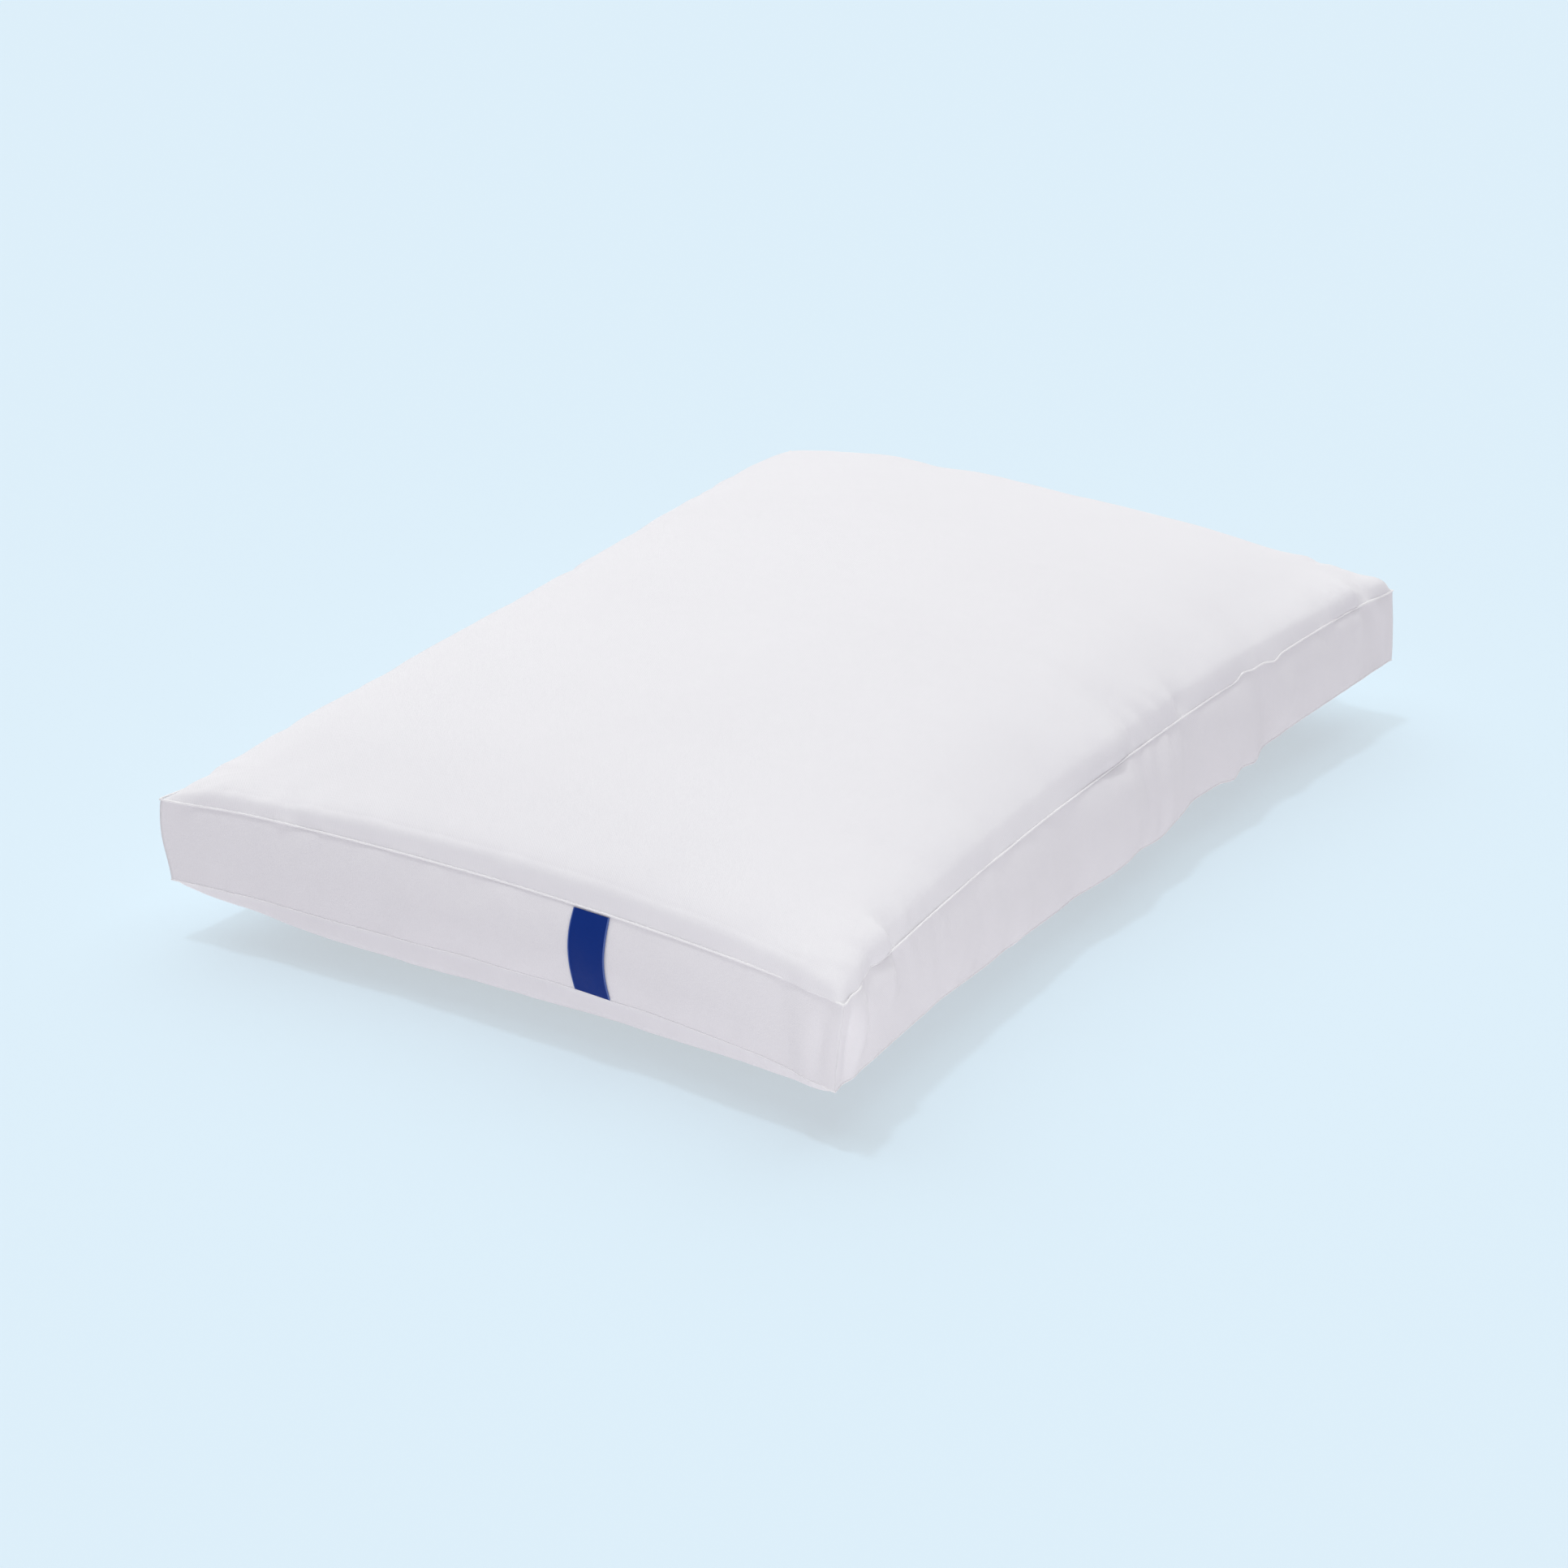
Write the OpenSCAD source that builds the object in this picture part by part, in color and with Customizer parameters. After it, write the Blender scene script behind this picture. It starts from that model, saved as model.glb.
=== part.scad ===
// Gusseted bed pillow with an inner pillow behind a zip.
// Units are millimetres. +Z is up, and z = 0 is the surface that the pillow lies on.
// The long side runs along Y and the short side along X. The origin is the middle of the base.
// The woven label is on the short end at -Y, and the zip is in the short end at +Y.

/* [Pillow] */
// Length of the pillow between the end seams
pillow_l = 660; // [500:5:920]
// Width of the pillow between the side seams
pillow_w = 457; // [360:1:560]
// Height of the gusset between the two seams
gusset_h = 51; // [40:1:70]
// Height of the lower seam above the surface that the pillow lies on
seam_height = 39; // [34:1:50]
// Rise of the top panel above the upper seam
crown_top = 50.5; // [40:0.5:70]
// Fall of the bottom panel below the lower seam before the surface flattens it
crown_bottom = 58; // [54:0.5:70]
// Roundness of the crown: small is full right up to the seam, 1 is a plain dome
crown_power = 0.78; // [0.6:0.02:1]

/* [Seam line] */
// How far a long side is pulled in at its middle
pull_side = 19; // [10:0.5:26]
// How far the label end is pulled in at its middle
pull_front = 15; // [10:0.5:22]
// How far the zip end's seams are pulled in, so that the zip between them stays straight
pull_rear = 4; // [2:0.5:5]
// How far the gusset stands out between its seams on the other three sides
gusset_bulge = 7; // [3:0.5:9]
// Diameter of the corded piping in both seams
piping_d = 1.6; // [1.2:0.1:3]
// Distance of the join between the two gusset strips from the zip end's corner
gusset_join = 140; // [60:5:220]

/* [Cloth layers] */
// Thickness of the cover cloth, as modelled
cover_t = 1; // [0.6:0.1:1.4]
// Thickness of the lining and of the inner pillow's cloth, as modelled
lining_t = 0.8; // [0.5:0.1:1.2]
// Gap between one layer and the next
layer_gap = 0.2; // [0.1:0.05:0.5]
// Thickness of the outer fill over the inner pillow, at the middle
fill_top_t = 26; // [15:1:32]
// Thickness of the outer fill under the inner pillow, at the middle
fill_bottom_t = 22; // [12:1:28]
// Thickness of the inner pillow at its edge
inner_edge_t = 6; // [4:0.5:10]
// Room kept inside the zip end for the zip's slider
zip_room = 9; // [7:0.5:14]

/* [Labels] */
// Width of the woven label
label_w = 24; // [16:1:40]
// Distance of the woven label's middle from the middle of the end
label_x = 59.2; // [20:0.1:120]
// Thickness of the woven label
label_t = 0.6; // [0.4:0.1:1]
// Width of the blank care label
care_w = 32; // [20:1:45]
// Clear height left under the care label
care_lift = 4; // [2:0.5:10]
// Thickness of the care label
care_t = 0.5; // [0.4:0.1:1]
// Distance of the care label's middle from the zip end's corner
care_place = 125; // [60:5:200]

/* [Zip] */
// Distance from each side seam to the zip's end stop
zip_margin = 42.5; // [35:0.5:80]
// Width of the slot in the gusset that shows the zip
zip_slot_w = 11; // [10:0.5:13]
// Width of each zip tape
tape_w = 14; // [11:0.5:15]
// Thickness of each zip tape
tape_t = 0.6; // [0.4:0.1:0.8]
// Width of each row of coil
coil_w = 2.2; // [1.9:0.1:2.4]
// Thickness of each row of coil
coil_t = 1.8; // [1.4:0.1:1.8]
// Gap between the two rows, where the slider's neck runs
coil_gap = 1.6; // [1.4:0.1:1.8]
// Length of each end stop along the zip
stop_l = 3; // [2:0.5:5]
// Length of the slider
slider_l = 11; // [9:0.5:14]
// Width of the slider
slider_w = 8.6; // [8.4:0.1:9.4]
// Thickness of each of the slider's plates
slider_plate_t = 1; // [0.8:0.1:1.3]
// Running gap around the slider and the pull
slider_gap = 0.3; // [0.25:0.05:0.35]
// Length of the bridge that holds the pull
bridge_l = 7.5; // [6.5:0.5:8.5]
// Width of the bridge
bridge_w = 1.8; // [1.4:0.1:2.2]
// Thickness of the bridge
bridge_t = 1; // [0.8:0.1:1.2]
// Length of the pull from its pin to its end
pull_l = 26; // [18:1:34]
// Width of the pull
pull_w = 6; // [5.5:0.5:8]
// Thickness of the pull
pull_t = 1.4; // [1:0.1:1.5]
// Radius of the pull's pin
pull_pin_r = 0.8; // [0.75:0.05:1]

/* [Hidden] */
$fn = 32;
// Grid steps along each side of a panel
side_steps = 12;
// Steps up the gusset between the two ends of the woven label, and up each half beside the zip
gusset_steps = 5;
half_steps = 3;
piping_sides = 8;
// Gap between two pieces that are sewn edge to edge, or that lie against each other
seam_gap = 0.1;
// Length by which a cutting shape runs past the face that it cuts
cut = 1;

// Heights of the two seams and of the middle of the gusset
z_low = seam_height;
z_high = seam_height + gusset_h;
z_mid = seam_height + gusset_h / 2;
// Height of the piping that neither label may reach into
seam_clear = piping_d / 2 + seam_gap;

// The outer fill starts inside the cover, and the lens-shaped layers start inside the fill
inset_fill = cover_t + layer_gap;
inset_lens = inset_fill + layer_gap;
// Depths of the layers below the inner face of the outer fill
depth_lining = layer_gap;
depth_inner = depth_lining + lining_t + layer_gap;
depth_core = depth_inner + lining_t + layer_gap;
// Distances from the gusset's middle to the fill's inner face, at the edge and at the middle
lens_edge = inner_edge_t / 2 + depth_inner;
lens_top = z_high + crown_top - inset_fill - fill_top_t - z_mid;
lens_bottom = z_mid - inset_fill - fill_bottom_t;

// Places along the sides, as shares of half a side
join_v = 1 - gusset_join / (pillow_l / 2);
care_v = 1 - care_place / (pillow_l / 2);
care_half_v = care_w / pillow_l;
label_u = label_x / (pillow_w / 2);
label_half_u = label_w / pillow_w;

// The zip runs along the straight middle line of its end
zip_l = pillow_w - 2 * zip_margin;
zip_strip_l = zip_l + 8 * stop_l;
zip_u = zip_strip_l / pillow_w;
tape_y = pillow_l / 2 - cover_t - layer_gap;
tape_z = coil_gap / 2;
coil_y = tape_y + coil_t / 2 + seam_gap / 2;
coil_z = (coil_gap + coil_w) / 2;
stop_proud = 0.8;

// The slider's channel, its outer face, and its place at the closed end
slider_x = zip_l / 2 - slider_l / 2 - slider_gap;
slider_travel = 2 * slider_x;
channel_y = tape_y - tape_t - slider_gap;
channel_t = tape_t + coil_t + 2 * slider_gap;
plate_y = channel_y + channel_t + slider_plate_t;
slider_corner_r = 1.5;
flange_t = 0.8;
flange_y = tape_y + slider_gap;
neck_w = coil_gap - 2 * slider_gap;
neck_l = 3;
// The bridge stands on the outer face with the pull's pin under it
pin_y = plate_y + slider_gap + pull_pin_r;
bridge_rise = 2 * (slider_gap + pull_pin_r);
bridge_reach = norm([bridge_l / 2, bridge_rise / 2 + bridge_t]);
window_w = bridge_w + 2 * slider_gap;
window_l = bridge_reach + slider_gap;

// ---------- Seam line and surfaces ----------

// Stations from -1 to 1 that bunch up towards both ends
stations = [for (i = [0 : side_steps]) sin(90 * (2 * i / side_steps - 1))];

// The stations that lie between a and b, with a and b themselves
function between(a, b) = concat([a], [for (s = stations) if (s > a && s < b) s], [b]);

// The same stations in the opposite order
function backwards(list) = [for (i = [len(list) - 1 : -1 : 0]) list[i]];

// A point of the pillow's plan. u and v run from -1 to 1 across the width and the length.
// grow is how far the pulled-in sides stand out again, as the gusset does between its seams.
// rear_inset is extra room at the zip end, where the sides keep their curve but end sooner.
function plan(u, v, inset = 0, grow = 0, rear_inset = 0) =
  let (end_pull = v < 0 ? pull_front : pull_rear)
  let (end_grow = v < 0 ? grow : grow * pull_rear / gusset_bulge)
  let (end_inset = v < 0 ? inset : inset + rear_inset)
  let (side_v = v < 0 ? v : v * (1 - rear_inset / (pillow_l / 2)))
  [
    u * (pillow_w / 2 - inset - (pull_side - grow) * (1 - side_v * side_v)),
    v * (pillow_l / 2 - end_inset - (end_pull - end_grow) * (1 - u * u))
  ];

// Share of the crown's height at a point: 0 on the seams, 1 in the middle
function crown(u, v) = pow(max(0, (1 - u * u) * (1 - v * v)), crown_power / 2);

// Grid over the plan that rises from a base at the seams by a rise at the middle
function crown_grid(base, rise, inset, rear_inset, lowest) = [
  for (v = stations) [
    for (u = stations)
      concat(plan(u, v, inset, 0, rear_inset), max(lowest, base + rise * crown(u, v)))
  ]
];

// Grid on the upper side of the pillow, at a depth below the cover's outer face
function top_grid(depth, rear_inset = 0) =
  crown_grid(z_high + seam_gap / 2, crown_top - depth, depth, rear_inset, 0);

// Grid on the lower side, flattened where the pillow rests
function bottom_grid(depth, rear_inset = 0) =
  crown_grid(z_low - seam_gap / 2, depth - crown_bottom, depth, rear_inset, depth);

// Grid of the lens-shaped layers: dir is 1 above the middle of the gusset and -1 below it
function lens_grid(dir, middle, depth) =
  crown_grid(z_mid + dir * (lens_edge - depth), dir * (middle - lens_edge), inset_lens + depth,
             zip_room, 0);

// Grid up the gusset along a path of [u, v] stations, at a list of heights
function gusset_grid(path, heights, inset) = [
  for (p = path) [
    for (z = heights)
      let (h = (z - z_low) / gusset_h)
      concat(plan(p[0], p[1], inset, 4 * h * (1 - h) * gusset_bulge), z)
  ]
];

// Heights in equal steps
function rise(z0, z1, count) = [for (j = [0 : count]) z0 + (z1 - z0) * j / count];

label_heights = rise(z_low + seam_clear, z_high - seam_clear, gusset_steps);
gusset_heights = concat([z_low + seam_gap / 2], label_heights, [z_high - seam_gap / 2]);

// Stretches of the seam line, anticlockwise as seen from above
label_path = [for (u = between(label_u - label_half_u, label_u + label_half_u)) [u, -1]];
front_path = concat(
  [for (u = between(-1, label_u - label_half_u)) [u, -1]],
  [for (p = label_path) if (p[0] > label_u - label_half_u) p],
  [for (u = between(label_u + label_half_u, 1)) if (u > label_u + label_half_u) [u, -1]]
);
care_path = [for (v = backwards(between(care_v - care_half_v, care_v + care_half_v))) [-1, v]];
zip_path = [for (u = backwards(between(-zip_u, zip_u))) [u, 1]];
end_gap_u = seam_gap / (pillow_w / 2);
join_gap_v = seam_gap / (pillow_l / 2);
main_path = concat(
  [for (u = backwards(between(-1, -zip_u - end_gap_u))) [u, 1]],
  [for (v = backwards(between(-1, 1))) if (v < 1) [-1, v]],
  [for (p = front_path) if (p[0] > -1) p],
  [for (v = between(-1, join_v)) if (v > -1) [1, v]]
);
corner_path = concat(
  [for (v = between(join_v + join_gap_v, 1)) [1, v]],
  [for (u = backwards(between(zip_u + end_gap_u, 1))) if (u < 1) [u, 1]]
);

// ---------- Building blocks ----------

// Closed solid between two grids of equal size, with the outside of the first one below it
module layer(lower, upper) {
  cols = len(lower[0]);
  rows = len(lower);
  count = rows * cols;
  points = concat([for (row = lower) each row], [for (row = upper) each row]);
  // Each cell is split along the diagonal that points to the middle of the grid
  sheet = [
    for (i = [0 : rows - 2])
      for (j = [0 : cols - 2])
        let (a = i * cols + j)
        let (b = a + 1)
        let (c = a + cols + 1)
        let (d = a + cols)
        each (2 * i < rows - 1) == (2 * j < cols - 1) ? [[a, b, c], [a, c, d]] : [[a, b, d], [b, c, d]]
  ];
  rim = concat(
    [for (j = [0 : cols - 1]) j],
    [for (i = [1 : rows - 1]) i * cols + cols - 1],
    [for (j = [cols - 2 : -1 : 0]) (rows - 1) * cols + j],
    [for (i = [rows - 2 : -1 : 1]) i * cols]
  );
  rim_faces = [
    for (k = [0 : len(rim) - 1])
      let (a = rim[k])
      let (b = rim[(k + 1) % len(rim)])
      each [[b, a, a + count], [b, a + count, b + count]]
  ];
  far_sheet = [for (f = sheet) [f[0] + count, f[2] + count, f[1] + count]];
  polyhedron(points, concat(sheet, far_sheet, rim_faces), convexity = 6);
}

// Strip of cloth up the gusset, from an outer inset inwards by its thickness
module gusset_strip(path, heights, inset, t) {
  layer(gusset_grid(path, heights, inset), gusset_grid(path, heights, inset + t));
}

// Corded piping all round the pillow at the height of a seam, just outside the cloth
module piping(z) {
  path = concat(
    [for (s = stations) if (s < 1) [s, -1]],
    [for (s = stations) if (s < 1) [1, s]],
    [for (s = stations) if (s < 1) [-s, 1]],
    [for (s = stations) if (s < 1) [-1, -s]]
  );
  count = len(path);
  points = [
    for (p = path)
      let (middle = plan(p[0], p[1], -seam_clear))
      for (k = [0 : piping_sides - 1])
        let (reach = piping_d / 2 * cos(360 * k / piping_sides))
        let (lift = piping_d / 2 * sin(360 * k / piping_sides))
        [
          middle[0] + (abs(p[0]) == 1 ? p[0] * reach : 0),
          middle[1] + (abs(p[1]) == 1 ? p[1] * reach : 0),
          z + lift
        ]
  ];
  faces = [
    for (i = [0 : count - 1])
      for (k = [0 : piping_sides - 1])
        let (next_i = (i + 1) % count)
        let (next_k = (k + 1) % piping_sides)
        let (a = i * piping_sides + k)
        let (b = i * piping_sides + next_k)
        let (c = next_i * piping_sides + next_k)
        let (d = next_i * piping_sides + k)
        each [[a, b, c], [a, c, d]]
  ];
  polyhedron(points, faces, convexity = 6);
}

// Flat plate in the plane of the zip end, with rounded corners, thick along +Y
module rounded_plate(l, w, t, r) {
  rotate([-90, 0, 0]) {
    translate([-l / 2, -w / 2 + r, 0]) cube([l, w - 2 * r, t]);
    translate([-l / 2 + r, -w / 2, 0]) cube([l - 2 * r, w, t]);
    for (x = [-1, 1])
      for (z = [-1, 1])
        translate([x * (l / 2 - r), z * (w / 2 - r), 0]) cylinder(r = r, h = t);
  }
}

// Bar along X with a rounded section, standing for one row of coil
module coil_row(side) {
  round_r = coil_t / 2;
  translate([-zip_l / 2 + seam_gap, coil_y, z_mid + side * coil_z])
    rotate([90, 0, 90]) {
      translate([-round_r, -coil_w / 2 + round_r, 0])
        cube([coil_t, coil_w - coil_t, zip_l - 2 * seam_gap]);
      for (z = [-1, 1])
        translate([0, z * (coil_w / 2 - round_r), 0])
          cylinder(r = round_r, h = zip_l - 2 * seam_gap);
    }
}

// Metal or plastic block on the tape at an end of the zip, between two heights
module stop_block(x, z0, z1) {
  translate([x, tape_y + seam_gap / 2, z0]) cube([stop_l, coil_t + stop_proud, z1 - z0]);
}

// ---------- Cover ----------

module top_panel() {
  color("white") layer(top_grid(cover_t), top_grid(0));
}

module bottom_panel() {
  color("white")
    difference() {
      layer(crown_grid(z_low - seam_gap / 2, -crown_bottom, 0, 0, -crown_bottom),
            bottom_grid(cover_t));
      translate([-pillow_w / 2, -pillow_l / 2, -crown_bottom])
        cube([pillow_w, pillow_l, crown_bottom]);
    }
}

module gusset_main_strip() {
  color("gainsboro") gusset_strip(main_path, gusset_heights, 0, cover_t);
}

module gusset_corner_strip() {
  color("lightgray") gusset_strip(corner_path, gusset_heights, 0, cover_t);
}

module gusset_zip_strip_upper() {
  heights = rise(z_mid + zip_slot_w / 2, z_high - seam_gap / 2, half_steps);
  color("gainsboro") gusset_strip(zip_path, heights, 0, cover_t);
}

module gusset_zip_strip_lower() {
  heights = rise(z_low + seam_gap / 2, z_mid - zip_slot_w / 2, half_steps);
  color("gainsboro") gusset_strip(zip_path, heights, 0, cover_t);
}

module top_piping() {
  color("ghostwhite") piping(z_high);
}

module bottom_piping() {
  color("ghostwhite") piping(z_low);
}

module woven_label() {
  color("midnightblue")
    gusset_strip(label_path, label_heights, -seam_gap - label_t, label_t);
}

module care_label() {
  heights = rise(care_lift, z_low - seam_clear - seam_gap, 1);
  outer = [for (p = care_path) [for (z = heights) concat(plan(p[0], p[1], -seam_gap - care_t), z)]];
  inner = [for (p = care_path) [for (z = heights) concat(plan(p[0], p[1], -seam_gap), z)]];
  color("whitesmoke") layer(outer, inner);
}

// ---------- Zip ----------

module zip_tape_upper() {
  heights = rise(z_mid + tape_z, z_mid + tape_z + tape_w, half_steps);
  color("white") gusset_strip(zip_path, heights, cover_t + layer_gap, tape_t);
}

module zip_tape_lower() {
  heights = rise(z_mid - tape_z - tape_w, z_mid - tape_z, half_steps);
  color("white") gusset_strip(zip_path, heights, cover_t + layer_gap, tape_t);
}

module zip_coil_upper() {
  color("white") coil_row(1);
}

module zip_coil_lower() {
  color("white") coil_row(-1);
}

module zip_closed_end_stops() {
  color("silver") {
    stop_block(zip_l / 2, z_mid + tape_z, z_mid + tape_z + coil_w);
    stop_block(zip_l / 2, z_mid - tape_z - coil_w, z_mid - tape_z);
  }
}

module zip_open_end_stop() {
  color("silver")
    stop_block(-zip_l / 2 - stop_l, z_mid - tape_z - coil_w, z_mid + tape_z + coil_w);
}

module zip_slider() {
  color("silver")
    translate([slider_x, 0, z_mid]) {
      // Inner and outer plates
      translate([0, channel_y - slider_plate_t, 0])
        rounded_plate(slider_l, slider_w, slider_plate_t, slider_corner_r);
      translate([0, plate_y - slider_plate_t, 0])
        rounded_plate(slider_l, slider_w, slider_plate_t, slider_corner_r);
      // Flanges that close the channel down to the slots for the tapes
      for (side = [-1, 1])
        translate([-slider_l / 2 + slider_corner_r, flange_y, side * (slider_w - flange_t) / 2 - flange_t / 2])
          cube([slider_l - 2 * slider_corner_r, plate_y - slider_plate_t / 2 - flange_y, flange_t]);
      // Neck between the plates, at the end that leads as the zip closes
      translate([slider_l / 2 - neck_l, channel_y - slider_plate_t / 2, -neck_w / 2])
        cube([neck_l, channel_t + slider_plate_t, neck_w]);
      // Bridge over the pull's pin
      translate([-bridge_l / 2, plate_y - slider_plate_t / 2, -bridge_w / 2])
        difference() {
          cube([bridge_l, slider_plate_t / 2 + bridge_rise + bridge_t, bridge_w]);
          translate([bridge_t, -cut, -cut])
            cube([bridge_l - 2 * bridge_t, cut + slider_plate_t / 2 + bridge_rise, bridge_w + 2 * cut]);
        }
    }
}

module zip_pull() {
  end_r = pull_w / 2;
  color("silver")
    translate([slider_x, pin_y, z_mid]) {
      // Pin under the bridge, and the two arms that carry it
      translate([0, 0, -pull_w / 2]) cylinder(r = pull_pin_r, h = pull_w);
      difference() {
        union() {
          translate([-pull_l + end_r, -pull_t / 2, -pull_w / 2]) cube([pull_l - end_r, pull_t, pull_w]);
          translate([-pull_l + end_r, -pull_t / 2, 0]) rotate([-90, 0, 0]) cylinder(r = end_r, h = pull_t);
        }
        translate([-window_l, -pull_t, -window_w / 2]) cube([window_l + cut, 2 * pull_t, window_w]);
        // Round hole in the free end
        translate([-pull_l + end_r, -pull_t, 0]) rotate([-90, 0, 0]) cylinder(r = end_r / 2, h = 2 * pull_t);
      }
    }
}

// ---------- Filling ----------

module outer_fill_top() {
  color("floralwhite")
    layer(lens_grid(1, lens_top, 0), top_grid(inset_fill, zip_room));
}

module outer_fill_bottom() {
  color("floralwhite")
    layer(bottom_grid(inset_fill, zip_room), lens_grid(-1, lens_bottom, 0));
}

module lining_top() {
  color("aliceblue")
    layer(lens_grid(1, lens_top, depth_lining + lining_t), lens_grid(1, lens_top, depth_lining));
}

module lining_bottom() {
  color("aliceblue")
    layer(lens_grid(-1, lens_bottom, depth_lining), lens_grid(-1, lens_bottom, depth_lining + lining_t));
}

module inner_cover_top() {
  color("white")
    layer(lens_grid(1, lens_top, depth_inner + lining_t), lens_grid(1, lens_top, depth_inner));
}

module inner_cover_bottom() {
  color("white")
    layer(lens_grid(-1, lens_bottom, depth_inner), lens_grid(-1, lens_bottom, depth_inner + lining_t));
}

module inner_fill() {
  color("ivory")
    layer(lens_grid(-1, lens_bottom, depth_core), lens_grid(1, lens_top, depth_core));
}

top_panel();
bottom_panel();
gusset_main_strip();
gusset_corner_strip();
gusset_zip_strip_upper();
gusset_zip_strip_lower();
top_piping();
bottom_piping();
woven_label();
care_label();
zip_tape_upper();
zip_tape_lower();
zip_coil_upper();
zip_coil_lower();
zip_closed_end_stops();
zip_open_end_stop();
zip_slider();
zip_pull();
outer_fill_top();
outer_fill_bottom();
lining_top();
lining_bottom();
inner_cover_top();
inner_cover_bottom();
inner_fill();
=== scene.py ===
"""Gusseted bed pillow: cloth cover, corded seams, labels, zip, filling and inner pillow.

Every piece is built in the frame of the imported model, in metres. +Z is up, and z = 0 is the
surface that the pillow lies on. The labelled end is at -Y and the zip end is at +Y.
"""

import logging
import math
from dataclasses import asdict, dataclass, field
from enum import Enum

import bmesh
import bpy
import numpy as np
from mathutils import Matrix, Vector
from mathutils.kdtree import KDTree


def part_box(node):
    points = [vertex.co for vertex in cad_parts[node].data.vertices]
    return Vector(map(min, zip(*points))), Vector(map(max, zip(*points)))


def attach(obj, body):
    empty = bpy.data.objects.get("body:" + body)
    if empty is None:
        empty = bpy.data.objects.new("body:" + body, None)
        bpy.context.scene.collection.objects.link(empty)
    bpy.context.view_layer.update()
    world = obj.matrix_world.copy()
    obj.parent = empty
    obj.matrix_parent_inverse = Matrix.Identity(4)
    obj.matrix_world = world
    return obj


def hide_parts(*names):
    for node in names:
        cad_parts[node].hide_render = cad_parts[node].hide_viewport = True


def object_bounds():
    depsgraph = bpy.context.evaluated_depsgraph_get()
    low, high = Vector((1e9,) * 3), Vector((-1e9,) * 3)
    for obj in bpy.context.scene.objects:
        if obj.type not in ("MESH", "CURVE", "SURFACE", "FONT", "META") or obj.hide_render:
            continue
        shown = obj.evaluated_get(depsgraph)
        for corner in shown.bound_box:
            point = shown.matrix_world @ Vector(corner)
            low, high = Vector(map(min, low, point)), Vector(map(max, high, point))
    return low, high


Array = np.ndarray
Colour = tuple[float, float, float]
Place = tuple[float, float, float]

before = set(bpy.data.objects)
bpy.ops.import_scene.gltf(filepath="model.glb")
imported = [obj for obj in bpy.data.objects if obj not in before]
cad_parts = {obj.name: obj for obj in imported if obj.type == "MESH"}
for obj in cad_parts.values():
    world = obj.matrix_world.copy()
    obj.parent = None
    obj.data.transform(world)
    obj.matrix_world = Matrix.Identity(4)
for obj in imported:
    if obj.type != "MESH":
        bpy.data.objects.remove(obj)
CAD_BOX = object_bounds()
LOG = logging.getLogger("pillow")

WELD = 1e-6  # Vertices nearer than this are one vertex
FINE_WELD = 1e-7
CAD_WELD = 2e-6
KNOTS = 1024  # Chosen values in one line of smooth noise
KNOT_START = 200
PUCKER_SHARPNESS = 1.5
SHARP_EDGE = math.radians(35)


# ---------- Seam line and surfaces ----------


class Side(Enum):
    """The four sides of the gusset, in order round the pillow as seen from above."""

    FRONT = "front"
    RIGHT = "right"
    REAR = "rear"
    LEFT = "left"

    @property
    def crosswise(self) -> bool:
        """True for the two ends, whose seams run across the pillow."""
        return self in (Side.FRONT, Side.REAR)

    def on_plan(self, along: Array) -> tuple[Array, Array]:
        """Shares of the half width and half length at stations along this side.

        Args:
            along: Stations, anticlockwise, from -1 to 1.

        Returns:
            The shares across the width and along the length.
        """
        one = np.ones_like(along)
        return {
            Side.FRONT: (along, -one),
            Side.RIGHT: (one, along),
            Side.REAR: (-along, one),
            Side.LEFT: (-one, -along),
        }[self]


PUCKER_DEPTH = {Side.FRONT: 0.0014, Side.RIGHT: 0.0030, Side.REAR: 0.0010, Side.LEFT: 0.0007}
SLACK_DEPTH = {Side.FRONT: 0.0012, Side.RIGHT: 0.0024, Side.REAR: 0.0, Side.LEFT: 0.0014}


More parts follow.
